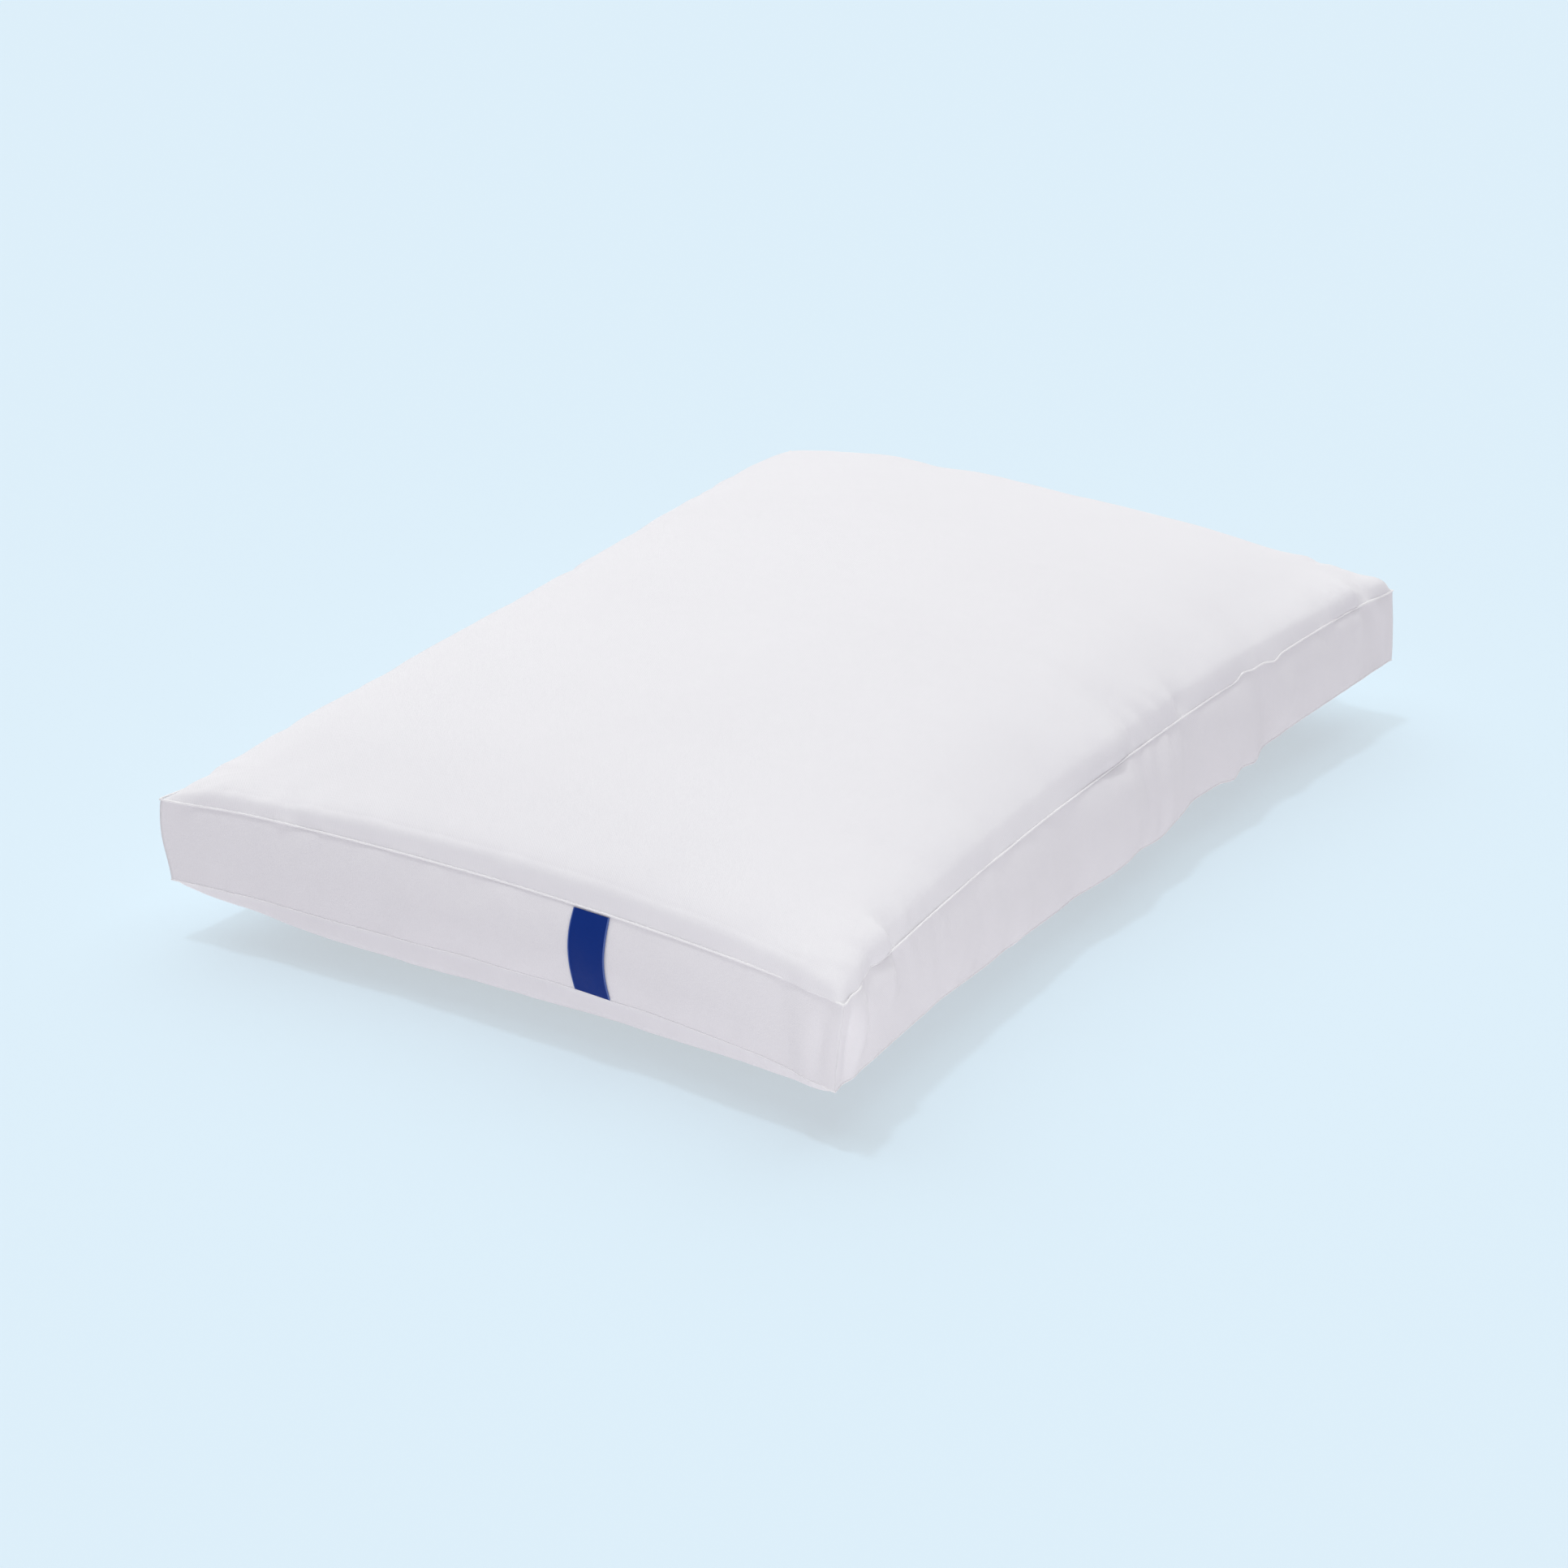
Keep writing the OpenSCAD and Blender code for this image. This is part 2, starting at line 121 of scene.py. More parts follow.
@dataclass(frozen=True)
class PillowForm:
    """Outline and crowns of the pillow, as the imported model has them."""

    width: float
    length: float
    z_low: float
    z_high: float
    crown_top: float
    crown_bottom: float = 0.058
    crown_power: float = 0.78
    pull_side: float = 0.019
    pull_front: float = 0.015
    pull_rear: float = 0.004
    bulge: float = 0.007
    lens_edge: float = 0.0042
    lens_inset: float = 0.0014
    lens_gap: float = 0.0008
    fill_top: float = 0.026
    fill_bottom: float = 0.022
    cloth_inset: float = 0.0012
    zip_room: float = 0.009

    @classmethod
    def from_frame(cls) -> "PillowForm":
        """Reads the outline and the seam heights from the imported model.

        Returns:
            The form that the CAD's top and bottom panels have.
        """
        low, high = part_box("top_panel")
        _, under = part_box("bottom_panel")
        return cls(
            width=high.x - low.x,
            length=high.y - low.y,
            z_low=under.z,
            z_high=low.z,
            crown_top=high.z - low.z,
        )

    @property
    def z_mid(self) -> float:
        """Height of the middle of the gusset."""
        return (self.z_low + self.z_high) / 2

    def plan(
        self, u: Array, v: Array, inset: float = 0, grow: Array | float = 0, rear: float = 0
    ) -> Array:
        """Places shares of the half width and half length on the pulled-in plan.

        Args:
            u: Shares across the width, from -1 to 1.
            v: Shares along the length, from -1 to 1.
            inset: Distance inwards from the seam line.
            grow: How far the pulled-in sides stand out again.
            rear: Extra room at the zip end.

        Returns:
            x and y in the last axis.
        """
        end_pull = np.where(v < 0, self.pull_front, self.pull_rear)
        end_grow = np.where(v < 0, grow, grow * self.pull_rear / self.bulge)
        end_inset = np.where(v < 0, inset, inset + rear)
        side_v = np.where(v < 0, v, v * (1 - rear / (self.length / 2)))
        x = u * (self.width / 2 - inset - (self.pull_side - grow) * (1 - side_v**2))
        y = v * (self.length / 2 - end_inset - (end_pull - end_grow) * (1 - u**2))
        return np.stack(np.broadcast_arrays(x, y), axis=-1)

    def crown(self, u: Array, v: Array) -> Array:
        """Share of the crown's height: 0 on the seams and 1 in the middle."""
        return np.clip((1 - u**2) * (1 - v**2), 0, None) ** (self.crown_power / 2)

    def crowned(
        self, u: Array, v: Array, base: float, rise: float, inset: float, rear: float = 0
    ) -> Array:
        """Surface over the plan that rises from a base at the seams.

        Args:
            u: Stations across the width.
            v: Stations along the length.
            base: Height at the seams.
            rise: Rise at the middle, or fall if it is negative.
            inset: Distance inwards from the seam line.
            rear: Extra room at the zip end.

        Returns:
            Points in rows across the width and columns along the length.
        """
        uu, vv = np.meshgrid(u, v, indexing="ij")
        height = base + rise * self.crown(uu, vv)
        return np.concatenate([self.plan(uu, vv, inset, 0, rear), height[..., None]], axis=-1)

    def upper(self, u: Array, v: Array) -> Array:
        """Outer face of the top panel."""
        return self.crowned(u, v, self.z_high, self.crown_top, 0)

    def lower(self, u: Array, v: Array) -> Array:
        """Outer face of the bottom panel, flat where the pillow rests."""
        points = self.crowned(u, v, self.z_low, -self.crown_bottom, 0)
        points[..., 2] = np.maximum(points[..., 2], 0)
        return points

    def lens(self, u: Array, v: Array, above: bool, depth: float) -> Array:
        """Face of a lens-shaped layer round the inner pillow.

        Args:
            u: Stations across the width.
            v: Stations along the length.
            above: True for the upper half and False for the lower one.
            depth: Distance inwards from the outer filling's inner face.

        Returns:
            Points of the layer's face.
        """
        if above:
            middle = self.z_high + self.crown_top - self.cloth_inset - self.fill_top - self.z_mid
        else:
            middle = self.z_mid - self.cloth_inset - self.fill_bottom
        turn = 1 if above else -1
        return self.crowned(
            u,
            v,
            self.z_mid + turn * (self.lens_edge + self.lens_gap - depth),
            turn * (middle - self.lens_edge - self.lens_gap),
            self.lens_inset + depth,
            self.zip_room,
        )

    def side(self, side: Side, along: Array, heights: Array) -> Array:
        """Outer face of one side of the gusset, which stands out between its seams.

        Args:
            side: The side to place.
            along: Stations along the side, anticlockwise, from -1 to 1.
            heights: Shares of the gusset's height, from 0 to 1.

        Returns:
            Points in rows along the side and columns up it.
        """
        s, h = np.meshgrid(along, heights, indexing="ij")
        u, v = side.on_plan(s)
        z = self.z_low + (self.z_high - self.z_low) * h
        bowed = 4 * h * (1 - h) * self.bulge
        return np.concatenate([self.plan(u, v, 0, bowed), z[..., None]], axis=-1)

    def flat_side(self, side: Side, along: Array, heights: Array) -> Array:
        """The same side as it is cut, before the cloth is filled.

        Args:
            side: The side to place.
            along: Stations along the side, anticlockwise, from -1 to 1.
            heights: Shares of the gusset's height, from 0 to 1.

        Returns:
            Points in rows along the side and columns up it.
        """
        s, h = np.meshgrid(along, heights, indexing="ij")
        u, v = side.on_plan(s)
        z = self.z_low + (self.z_high - self.z_low) * h
        return np.stack([u * self.width / 2, v * self.length / 2, z], -1)

    def flat_panel(self, u: Array, v: Array) -> Array:
        """Flat place of each point of a panel as it is cut, in x and y."""
        uu, vv = np.meshgrid(u, v, indexing="ij")
        return np.stack([uu * self.width / 2, vv * self.length / 2], -1)


def stations(count: int, *kept: float) -> Array:
    """Steps from -1 to 1 that are closer together near both ends.

    Args:
        count: Number of steps.
        kept: Values that have to be stations; the nearest one moves to each.

    Returns:
        The stations in order.
    """
    even = np.linspace(-1, 1, count + 1)
    made = 0.5 * even + 0.5 * np.sin(math.pi / 2 * even)
    for value in kept:
        made[nearest(made, value)] = value
    return made


def nearest(values: Array, wanted: float) -> int:
    """Index of the value that is nearest to the wanted one."""
    return int(np.abs(values - wanted).argmin())


def doubled(points: Array, axis: int) -> Array:
    """Adds a smooth point between each two along an axis, by four-point interpolation.

    Args:
        points: Values in a grid.
        axis: Axis along which the grid is refined.

    Returns:
        The grid with 2n - 1 values along that axis.
    """
    p = np.moveaxis(points, axis, 0)
    before = np.concatenate([2 * p[:1] - p[1:2], p[:-2]])
    after = np.concatenate([p[2:], 2 * p[-1:] - p[-2:-1]])
    middle = (9 * (p[:-1] + p[1:]) - before - after) / 16
    made = np.empty((2 * len(p) - 1, *p.shape[1:]))
    made[::2], made[1::2] = p, middle
    return np.moveaxis(made, 0, axis)


def wander(s: Array, pitch: float, seed: int) -> Array:
    """Smooth noise from -1 to 1 along a line.

    Args:
        s: Distance along the line.
        pitch: Distance from one chosen value to the next.
        seed: Number that picks the values.

    Returns:
        The noise at each distance.
    """
    knots = np.random.default_rng(seed).uniform(-1, 1, KNOTS)
    x = s / pitch + KNOT_START
    i = np.floor(x).astype(int)
    f = x - i
    f = f * f * (3 - 2 * f)
    return knots[i % KNOTS] * (1 - f) + knots[(i + 1) % KNOTS] * f


def hump(distance: Array, peak: float) -> Array:
    """Profile that is 0 at a seam, 1 at its peak, and dies away beyond it."""
    return (distance / peak * np.exp(1 - distance / peak)) ** PUCKER_SHARPNESS


def normals_of(points: Array) -> Array:
    """Unit normals of a grid of points, from its rows towards its columns.

    Args:
        points: Places in rows and columns.

    Returns:
        One normal for each point.
    """
    along = np.gradient(points, axis=0)
    across = np.gradient(points, axis=1)
    n = np.cross(along, across)
    return n / np.maximum(np.linalg.norm(n, axis=-1, keepdims=True), 1e-12)


def arc_from_start(points: Array, axis: int) -> Array:
    """Distance over the surface from the first row or column of a grid.

    Args:
        points: Places in rows and columns.
        axis: 0 to measure from the first row, 1 from the first column.

    Returns:
        The distance of each point.
    """
    steps = np.linalg.norm(np.diff(points, axis=axis), axis=-1)
    total = np.cumsum(steps, axis=axis)
    pad = [(0, 0), (0, 0)]
    pad[axis] = (1, 0)
    return np.pad(total, pad)


def spread_out(values: Array, edges: Array, times: int, keep: Array | float) -> Array:
    """Averages values with their neighbours', over and over.

    Args:
        values: One row for each vertex.
        edges: Pairs of vertices.
        times: Number of averagings.
        keep: Share of each new value that is kept, such as 0 where a vertex is held.

    Returns:
        The values' broad part.
    """
    count = len(values)
    ends = np.concatenate([edges[:, 0], edges[:, 1]])
    others = np.concatenate([edges[:, 1], edges[:, 0]])
    met = np.maximum(np.bincount(ends, minlength=count), 1)
    made = values.copy()
    for _ in range(times):
        summed = [np.bincount(ends, column[others], count) for column in made.T]
        made = 0.5 * made + 0.5 * np.stack(summed, -1) / met[:, None]
        made = made * keep
    return made


# ---------- Meshes ----------


def add_grid(bm: bmesh.types.BMesh, points: Array, cut: Array | None = None) -> None:
    """Adds a grid to a mesh and lays it over points.

    Args:
        bm: Mesh that the grid is added to.
        points: Places of the grid's vertices.
        cut: Flat place of each vertex in the cut cloth, in metres.
    """
    n, m = points.shape[0] - 1, points.shape[1] - 1
    layer = bm.verts.layers.float_vector.get("cut") or bm.verts.layers.float_vector.new("cut")
    made = bmesh.ops.create_grid(bm, x_segments=n, y_segments=m, size=1.0)["verts"]
    for vert in made:
        i, j = round((vert.co.x + 1) / 2 * n), round((vert.co.y + 1) / 2 * m)
        vert.co = points[i, j]
        if cut is not None:
            vert[layer] = (cut[i, j, 0], cut[i, j, 1], 0.0)


def to_object(bm: bmesh.types.BMesh, name: str) -> bpy.types.Object:
    """Makes a smooth-shaded object of a mesh and frees the mesh.

    Args:
        bm: The finished mesh.
        name: Name of the new piece.

    Returns:
        The object, at the origin.
    """
    mesh = bpy.data.meshes.new(name)
    bm.to_mesh(mesh)
    bm.free()
    mesh.shade_smooth()
    made = bpy.data.objects.new(name, mesh)
    bpy.context.scene.collection.objects.link(made)
    return made


def thicken(piece: bpy.types.Object, thickness: float, inwards: bool = True) -> None:
    """Gives a sheet its thickness with a Solidify modifier.

    Args:
        piece: The sheet.
        thickness: Thickness of the cloth.
        inwards: True if the thickness lies on the inner side.
    """
    shell = piece.modifiers.new("thickness", "SOLIDIFY")
    shell.thickness = thickness
    shell.offset = -1 if inwards else 1
    shell.use_even_offset = True
    shell.thickness_clamp = 1.0
    shell.use_rim = True


def crisp_rims(piece: bpy.types.Object, face_points: int) -> None:
    """Applies a sheet's modifiers and keeps the edges of its thickness crisp.

    Args:
        piece: The sheet, with its Solidify modifier.
        face_points: Number of vertices on the sheet's outer face.
    """
    bpy.context.view_layer.update()
    ready = piece.evaluated_get(bpy.context.evaluated_depsgraph_get())
    plain, piece.data = piece.data, bpy.data.meshes.new_from_object(ready)
    piece.modifiers.clear()
    bpy.data.meshes.remove(plain)
    bm = bmesh.new()
    bm.from_mesh(piece.data)
    for face in bm.faces:
        if len({vert.index < face_points for vert in face.verts}) == 2:
            for edge in face.edges:
                first, second = edge.verts
                if (first.index < face_points) == (second.index < face_points):
                    edge.smooth = False
    bm.to_mesh(piece.data)
    bm.free()


def sheet_piece(name: str, points: Array, cut: Array, thickness: float) -> bpy.types.Object:
    """Makes one sheet of cloth from a grid, thick towards its inner side.

    Args:
        name: Name of the new piece.
        points: Outer face of the sheet.
        cut: Flat place of each point in the cut cloth.
        thickness: Thickness of the cloth.

    Returns:
        The sheet's object.
    """
    bm = bmesh.new()
    add_grid(bm, points, cut)
    made = to_object(bm, name)
    thicken(made, thickness)
    crisp_rims(made, points.shape[0] * points.shape[1])
    return made


def closed_piece(name: str, upper: Array, lower: Array, steps: int = 2) -> bpy.types.Object:
    """Makes a closed solid from an upper and a lower grid with a wall between their rims.

    Args:
        name: Name of the new piece.
        upper: Upper face, in rows across the width.
        lower: Lower face, of the same size.
        steps: Faces up the wall.

    Returns:
        The solid's object, with its faces outwards.
    """
    bm = bmesh.new()
    add_grid(bm, upper, upper)
    add_grid(bm, lower, lower)
    share = np.linspace(0, 1, steps + 1)[None, :, None]
    for rim in (np.s_[:, 0], np.s_[-1, :], np.s_[:, -1], np.s_[0, :]):
        wall = lower[rim][:, None] * (1 - share) + upper[rim][:, None] * share
        add_grid(bm, wall, wall)
    bmesh.ops.remove_doubles(bm, verts=bm.verts[:], dist=WELD)
    bmesh.ops.recalc_face_normals(bm, faces=bm.faces[:])
    return to_object(bm, name)


def tube_piece(
    name: str, path: Array, radius: float, closed: bool, roundness: int = 1
) -> bpy.types.Object:
    """Makes a mesh tube along a path.

    Args:
        name: Name of the new piece.
        path: Points of the tube's centreline.
        radius: Radius of the tube.
        closed: True if the last point joins the first one.
        roundness: Steps in each quarter of the section.

    Returns:
        The tube's object, at the origin.
    """
    curve = bpy.data.curves.new(name + "_line", "CURVE")
    curve.dimensions = "3D"
    line = curve.splines.new("POLY")
    line.points.add(len(path) - 1)
    line.points.foreach_set("co", np.c_[path, np.ones(len(path))].ravel().astype(np.float32))
    line.use_cyclic_u = closed
    curve.bevel_depth = radius
    curve.bevel_resolution = roundness
    curve.use_fill_caps = not closed
    holder = bpy.data.objects.new(name + "_line", curve)
    bpy.context.scene.collection.objects.link(holder)
    bpy.context.view_layer.update()
    baked = holder.evaluated_get(bpy.context.evaluated_depsgraph_get())
    bm = bmesh.new()
    bm.from_mesh(bpy.data.meshes.new_from_object(baked))
    bpy.data.objects.remove(holder)
    bmesh.ops.remove_doubles(bm, verts=bm.verts[:], dist=FINE_WELD)
    bmesh.ops.recalc_face_normals(bm, faces=bm.faces[:])
    return to_object(bm, name)


# ---------- The cover's surface ----------


@dataclass(frozen=True)
class Tug:
    """A soft local pull on the cloth: a fold, a nip or an ear."""

    at: Place
    reach: Place
    move: Place

    def pull(self, points: Array) -> Array:
        """How far each point moves."""
        away = (points - np.array(self.at)) / np.array(self.reach)
        return np.exp(-(away**2).sum(-1))[..., None] * np.array(self.move)


@dataclass(frozen=True)
class Percale:
    """How the cover's cloth gives while the Cloth pass fills it."""

    quality: int = 6
    mass: float = 0.25
    tension_stiffness: float = 40
    compression_stiffness: float = 10
    shear_stiffness: float = 8
    bending_stiffness: float = 0.3
    tension_damping: float = 15
    compression_damping: float = 15
    air_damping: float = 4
    use_pressure: bool = True
    uniform_pressure_force: float = 3.0

    def set_on(self, settings: bpy.types.ClothSettings) -> None:
        """Gives these values to a Cloth modifier, with gravity off."""
        for name, value in asdict(self).items():
            setattr(settings, name, value)
        settings.effector_weights.gravity = 0


@dataclass
class CoverCloth:
    """The cover's outer surface as six grids, from the plain form to the finished cloth."""

    form: PillowForm
    zip_share: float
    join_share: float
    steps_across: int = 60
    steps_along: int = 84
    frames: int = 20
    percale: Percale = Percale()
    tape_band: float = 0.007
    tape_half: float = 0.2
    most_travel: float = 0.003
    broad_share: float = 0.02
    fold_share: float = 0.14
    open_folds: float = 0.15
    fold_reach: float = 0.035
    smoothings: int = 40
    corner_calm: float = 0.010
    deepest_dent: float = 0.0022
    tuck_slope: float = 0.75
    tuck_soft: float = 0.0015
    lower_gather: float = 0.4
    gusset_gather: float = 0.8
    lower_seed: int = 40
    slack_seed: int = 90
    mouth: tuple[float, float] = (0.3922, 0.6078)
    heights: Array = field(init=False)

    def __post_init__(self) -> None:
        """Lays the six grids over the plain form."""
        self.heights = np.array([0, 0.13, 0.26, self.mouth[0], 0.5, self.mouth[1], 0.74, 0.87, 1])
        self.u = stations(self.steps_across, -self.zip_share, self.zip_share)
        self.v = stations(self.steps_along, self.join_share)
        self.top = self.form.upper(self.u, self.v)
        self.bottom = self.form.lower(self.u, self.v)
        self.sides = {side: self.form.side(side, self.along(side), self.heights) for side in Side}

    def along(self, side: Side) -> Array:
        """Stations along a side, anticlockwise.

        Args:
            side: The side.

        Returns:
            The panel's own stations, in the side's order.
        """
        return {
            Side.FRONT: self.u,
            Side.RIGHT: self.v,
            Side.REAR: -self.u[::-1],
            Side.LEFT: -self.v[::-1],
        }[side]

    def grids(self) -> list[Array]:
        """All six grids."""
        return [self.top, self.bottom, *self.sides.values()]

    def flat_cut(self) -> list[Array]:
        """The same grids before the cloth is filled: straight seams and flat panels.

        Returns:
            The six flat grids.
        """
        flat = self.form.flat_panel(self.u, self.v)
        heights = (self.form.z_high, self.form.z_low)
        panels = [np.dstack([flat, np.full(flat.shape[:2], z)]) for z in heights]
        sides = [self.form.flat_side(side, self.along(side), self.heights) for side in Side]
        return panels + sides

    def sewn_shell(self) -> tuple[bpy.types.Object, Array, list[Array]]:
        """Sews the six grids into one shell, with its flat cut as a shape to come to rest in.

        Returns:
            The shell, its vertices' places, and the vertices of each grid.
        """
        bm = bmesh.new()
        for grid in self.grids():
            add_grid(bm, grid)
        bmesh.ops.remove_doubles(bm, verts=bm.verts[:], dist=WELD)
        bmesh.ops.recalc_face_normals(bm, faces=bm.faces[:])
        shell = to_object(bm, "cover_in_the_making")
        start = np.zeros(len(shell.data.vertices) * 3)
        shell.data.vertices.foreach_get("co", start)
        start = start.reshape(-1, 3)
        finder = KDTree(len(start))
        for index, point in enumerate(start):
            finder.insert(point, index)
        finder.balance()
        places = [
            np.array([finder.find(p)[1] for p in grid.reshape(-1, 3)]) for grid in self.grids()
        ]
        cut = start.copy()
        for index, flat in zip(places, self.flat_cut()):
            cut[index] = flat.reshape(-1, 3)
        shell.shape_key_add(name="filled")
        key = shell.shape_key_add(name="cut")
        key.data.foreach_set("co", cut.ravel())
        return shell, start, places

    def filled(self, shell: bpy.types.Object, start: Array, still: Array) -> Array:
        """Fills the shell as air would, with a Cloth modifier.

        Args:
            shell: The sewn shell.
            start: Places of its vertices.
            still: True for the vertices that are held where they are.

        Returns:
            How far each vertex travelled.
        """
        held = shell.vertex_groups.new(name="held")
        held.add([int(i) for i in np.flatnonzero(still)], 1.0, "REPLACE")
        cloth = shell.modifiers.new("filling", "CLOTH")
        self.percale.set_on(cloth.settings)
        cloth.settings.vertex_group_mass = "held"
        cloth.settings.rest_shape_key = shell.data.shape_keys.key_blocks["cut"]
        cloth.collision_settings.use_collision = False
        cloth.point_cache.frame_start, cloth.point_cache.frame_end = 1, self.frames
        for step in range(1, self.frames + 1):
            bpy.context.scene.frame_set(step)
        baked = shell.evaluated_get(bpy.context.evaluated_depsgraph_get()).to_mesh()
        end = np.zeros(len(start) * 3)
        baked.vertices.foreach_get("co", end)
        return end.reshape(-1, 3) - start

    def press(self) -> None:
        """Fills the cover and keeps the fine folds that form beside the seams."""
        shell, start, places = self.sewn_shell()
        tape = np.abs(start[:, 2] - self.form.z_mid) < self.tape_band
        tape &= start[:, 1] > self.form.length / 2 - 0.001
        tape &= np.abs(start[:, 0]) < self.tape_half
        resting = start[:, 2] < WELD
        still = tape | resting
        travel = self.filled(shell, start, still)
        edges = np.zeros(len(shell.data.edges) * 2, np.int32)
        shell.data.edges.foreach_get("vertices", edges)
        free = np.where(still, 0.0, 1.0)[:, None]
        broad = spread_out(travel, edges.reshape(-1, 2), self.smoothings, 1.0)
        freedom = spread_out(free, edges.reshape(-1, 2), self.smoothings // 4, free)
        room = [self.form.width / 2, self.form.length / 2] - np.abs(start[:, :2])
        beside = np.exp(-((np.clip(room.min(axis=1), 0, 1) / self.fold_reach) ** 2))[:, None]
        folded = self.fold_share * (self.open_folds + (1 - self.open_folds) * beside)
        travel = freedom * (self.broad_share * broad + folded * (travel - broad))
        far = np.linalg.norm(travel, axis=1, keepdims=True)
        LOG.info("cloth travel: middle %.4f, most %.4f", np.median(far), far.max())
        travel *= self.most_travel * np.tanh(far / self.most_travel) / np.maximum(far, 1e-9)
        for grid, index in zip(self.grids(), places):
            grid += travel[index].reshape(grid.shape)
        bpy.context.scene.frame_set(1)
        bpy.data.objects.remove(shell)

    def refine(self) -> None:
        """Halves every step of the grids, and the steps along the pillow once more."""
        self.top = doubled(doubled(doubled(self.top, 0), 1), 1)
        self.bottom = doubled(doubled(doubled(self.bottom, 0), 1), 1)
        self.sides = {k: doubled(doubled(g, 0), 1) for k, g in self.sides.items()}
        for side in (Side.RIGHT, Side.LEFT):
            self.sides[side] = doubled(self.sides[side], 0)
        self.u, self.v = doubled(self.u, 0), doubled(doubled(self.v, 0), 0)
        self.heights = doubled(self.heights, 0)

    def tug(self, tugs: list[Tug]) -> None:
        """Pulls every grid by the same tugs, so that the seams stay together."""
        for grid in self.grids():
            grid += sum(t.pull(grid) for t in tugs)

    def pucker(self) -> None:
        """Gathers the cloth beside the seams, where the stitches hold it a little short."""
        moved = []
        for grid, sign, seed, share in (
            (self.top, 1, 0, 1.0),
            (self.bottom, -1, self.lower_seed, self.lower_gather),
        ):
            n = normals_of(grid) * sign
            shift = np.zeros(grid.shape[:2])
            for side in Side:
                axis = 1 if side.crosswise else 0
                far = side in (Side.RIGHT, Side.REAR)
                d = arc_from_start(np.flip(grid, axis) if far else grid, axis)
                d = np.flip(d, axis) if far else d
                s = grid[..., 0 if side.crosswise else 1]
                shift += self.gather(side, s, d, seed) * share
            moved.append(n * shift[..., None])
        height = self.form.z_high - self.form.z_low
        for side, grid in self.sides.items():
            n = normals_of(grid)
            s = grid[..., 0 if side.crosswise else 1]
            up = np.broadcast_to(self.heights[None, :], s.shape) * height
            shift = self.gather(side, s, height - up, 0) * self.gusset_gather
            shift += self.gather(side, s, up, self.lower_seed) * self.lower_gather
            shift += self.slack(side, s, up / height)
            near = arc_from_start(grid, 0)
            near = np.minimum(near, near[-1:] - near)
            shift *= 1 - np.exp(-((near / self.corner_calm) ** 2))
            dented = self.deepest_dent * np.tanh(shift / self.deepest_dent)
            shift = np.where(shift < 0, dented, shift)
            moved.append(n * shift[..., None])
        for grid, move in zip(self.grids(), moved):
            grid += move

    def gather(self, side: Side, s: Array, d: Array, seed: int) -> Array:
        """Height of the puckers that run from a seam into the cloth.

        Args:
            side: Side of the pillow that the seam is on.
            s: Place along the seam.
            d: Distance from the seam over the cloth.
            seed: Number that picks the puckers.

        Returns:
            Shift along the surface's normal.
        """
        fine_peak, broad_peak = 0.0085, 0.022
        seed += list(Side).index(side) * 5
        lean = s + 0.35 * d * wander(s, 0.05, seed)
        fine = 0.8 * wander(lean, 0.0095, seed + 1) + 0.9 * wander(lean, 0.017, seed + 2)
        patchy = 0.3 + 0.9 * np.clip(0.5 + wander(s, 0.07, seed + 3), 0, 1)
        if side is Side.RIGHT:
            # The far part of the near long side is gathered the most
            patchy = patchy + 0.7 * np.exp(-(((s - 0.30) / 0.07) ** 2))
        broad = wander(lean, 0.034, seed + 4) * hump(d, broad_peak)
        return PUCKER_DEPTH[side] * (patchy * fine * hump(d, fine_peak) + 0.9 * broad)

    def slack(self, side: Side, s: Array, h: Array) -> Array:
        """Soft upright valleys and ridges in the gusset, deepest at mid height."""
        lean = s + 0.012 * (h - 0.5)
        seed = self.slack_seed + list(Side).index(side)
        return SLACK_DEPTH[side] * wander(lean, 0.028, seed) * np.sin(math.pi * h)

    def tuck(self) -> None:
        """Draws the bottom panel in under the lower seam of the near long side."""
        seam = self.bottom[-1:, :, :]
        inwards = seam[..., 0] - self.bottom[..., 0]
        lowest = seam[..., 2] - self.tuck_slope * inwards
        gap = self.bottom[..., 2] - lowest
        self.bottom[..., 2] = lowest + 0.5 * (gap + np.sqrt(gap**2 + self.tuck_soft**2))
        self.bottom[-1, :, 2] = seam[0, :, 2]

    def settle(self) -> None:
        """Keeps the bottom panel on the surface that the pillow lies on."""
        for grid in self.grids():
            grid[..., 2] = np.maximum(grid[..., 2], 0)

    def seam(self, height: int) -> Array:
        """Points of the seam line, anticlockwise: height -1 is the upper seam and 0 the lower."""
        return np.concatenate([self.sides[side][:-1, height] for side in Side])


# ---------- Materials ----------


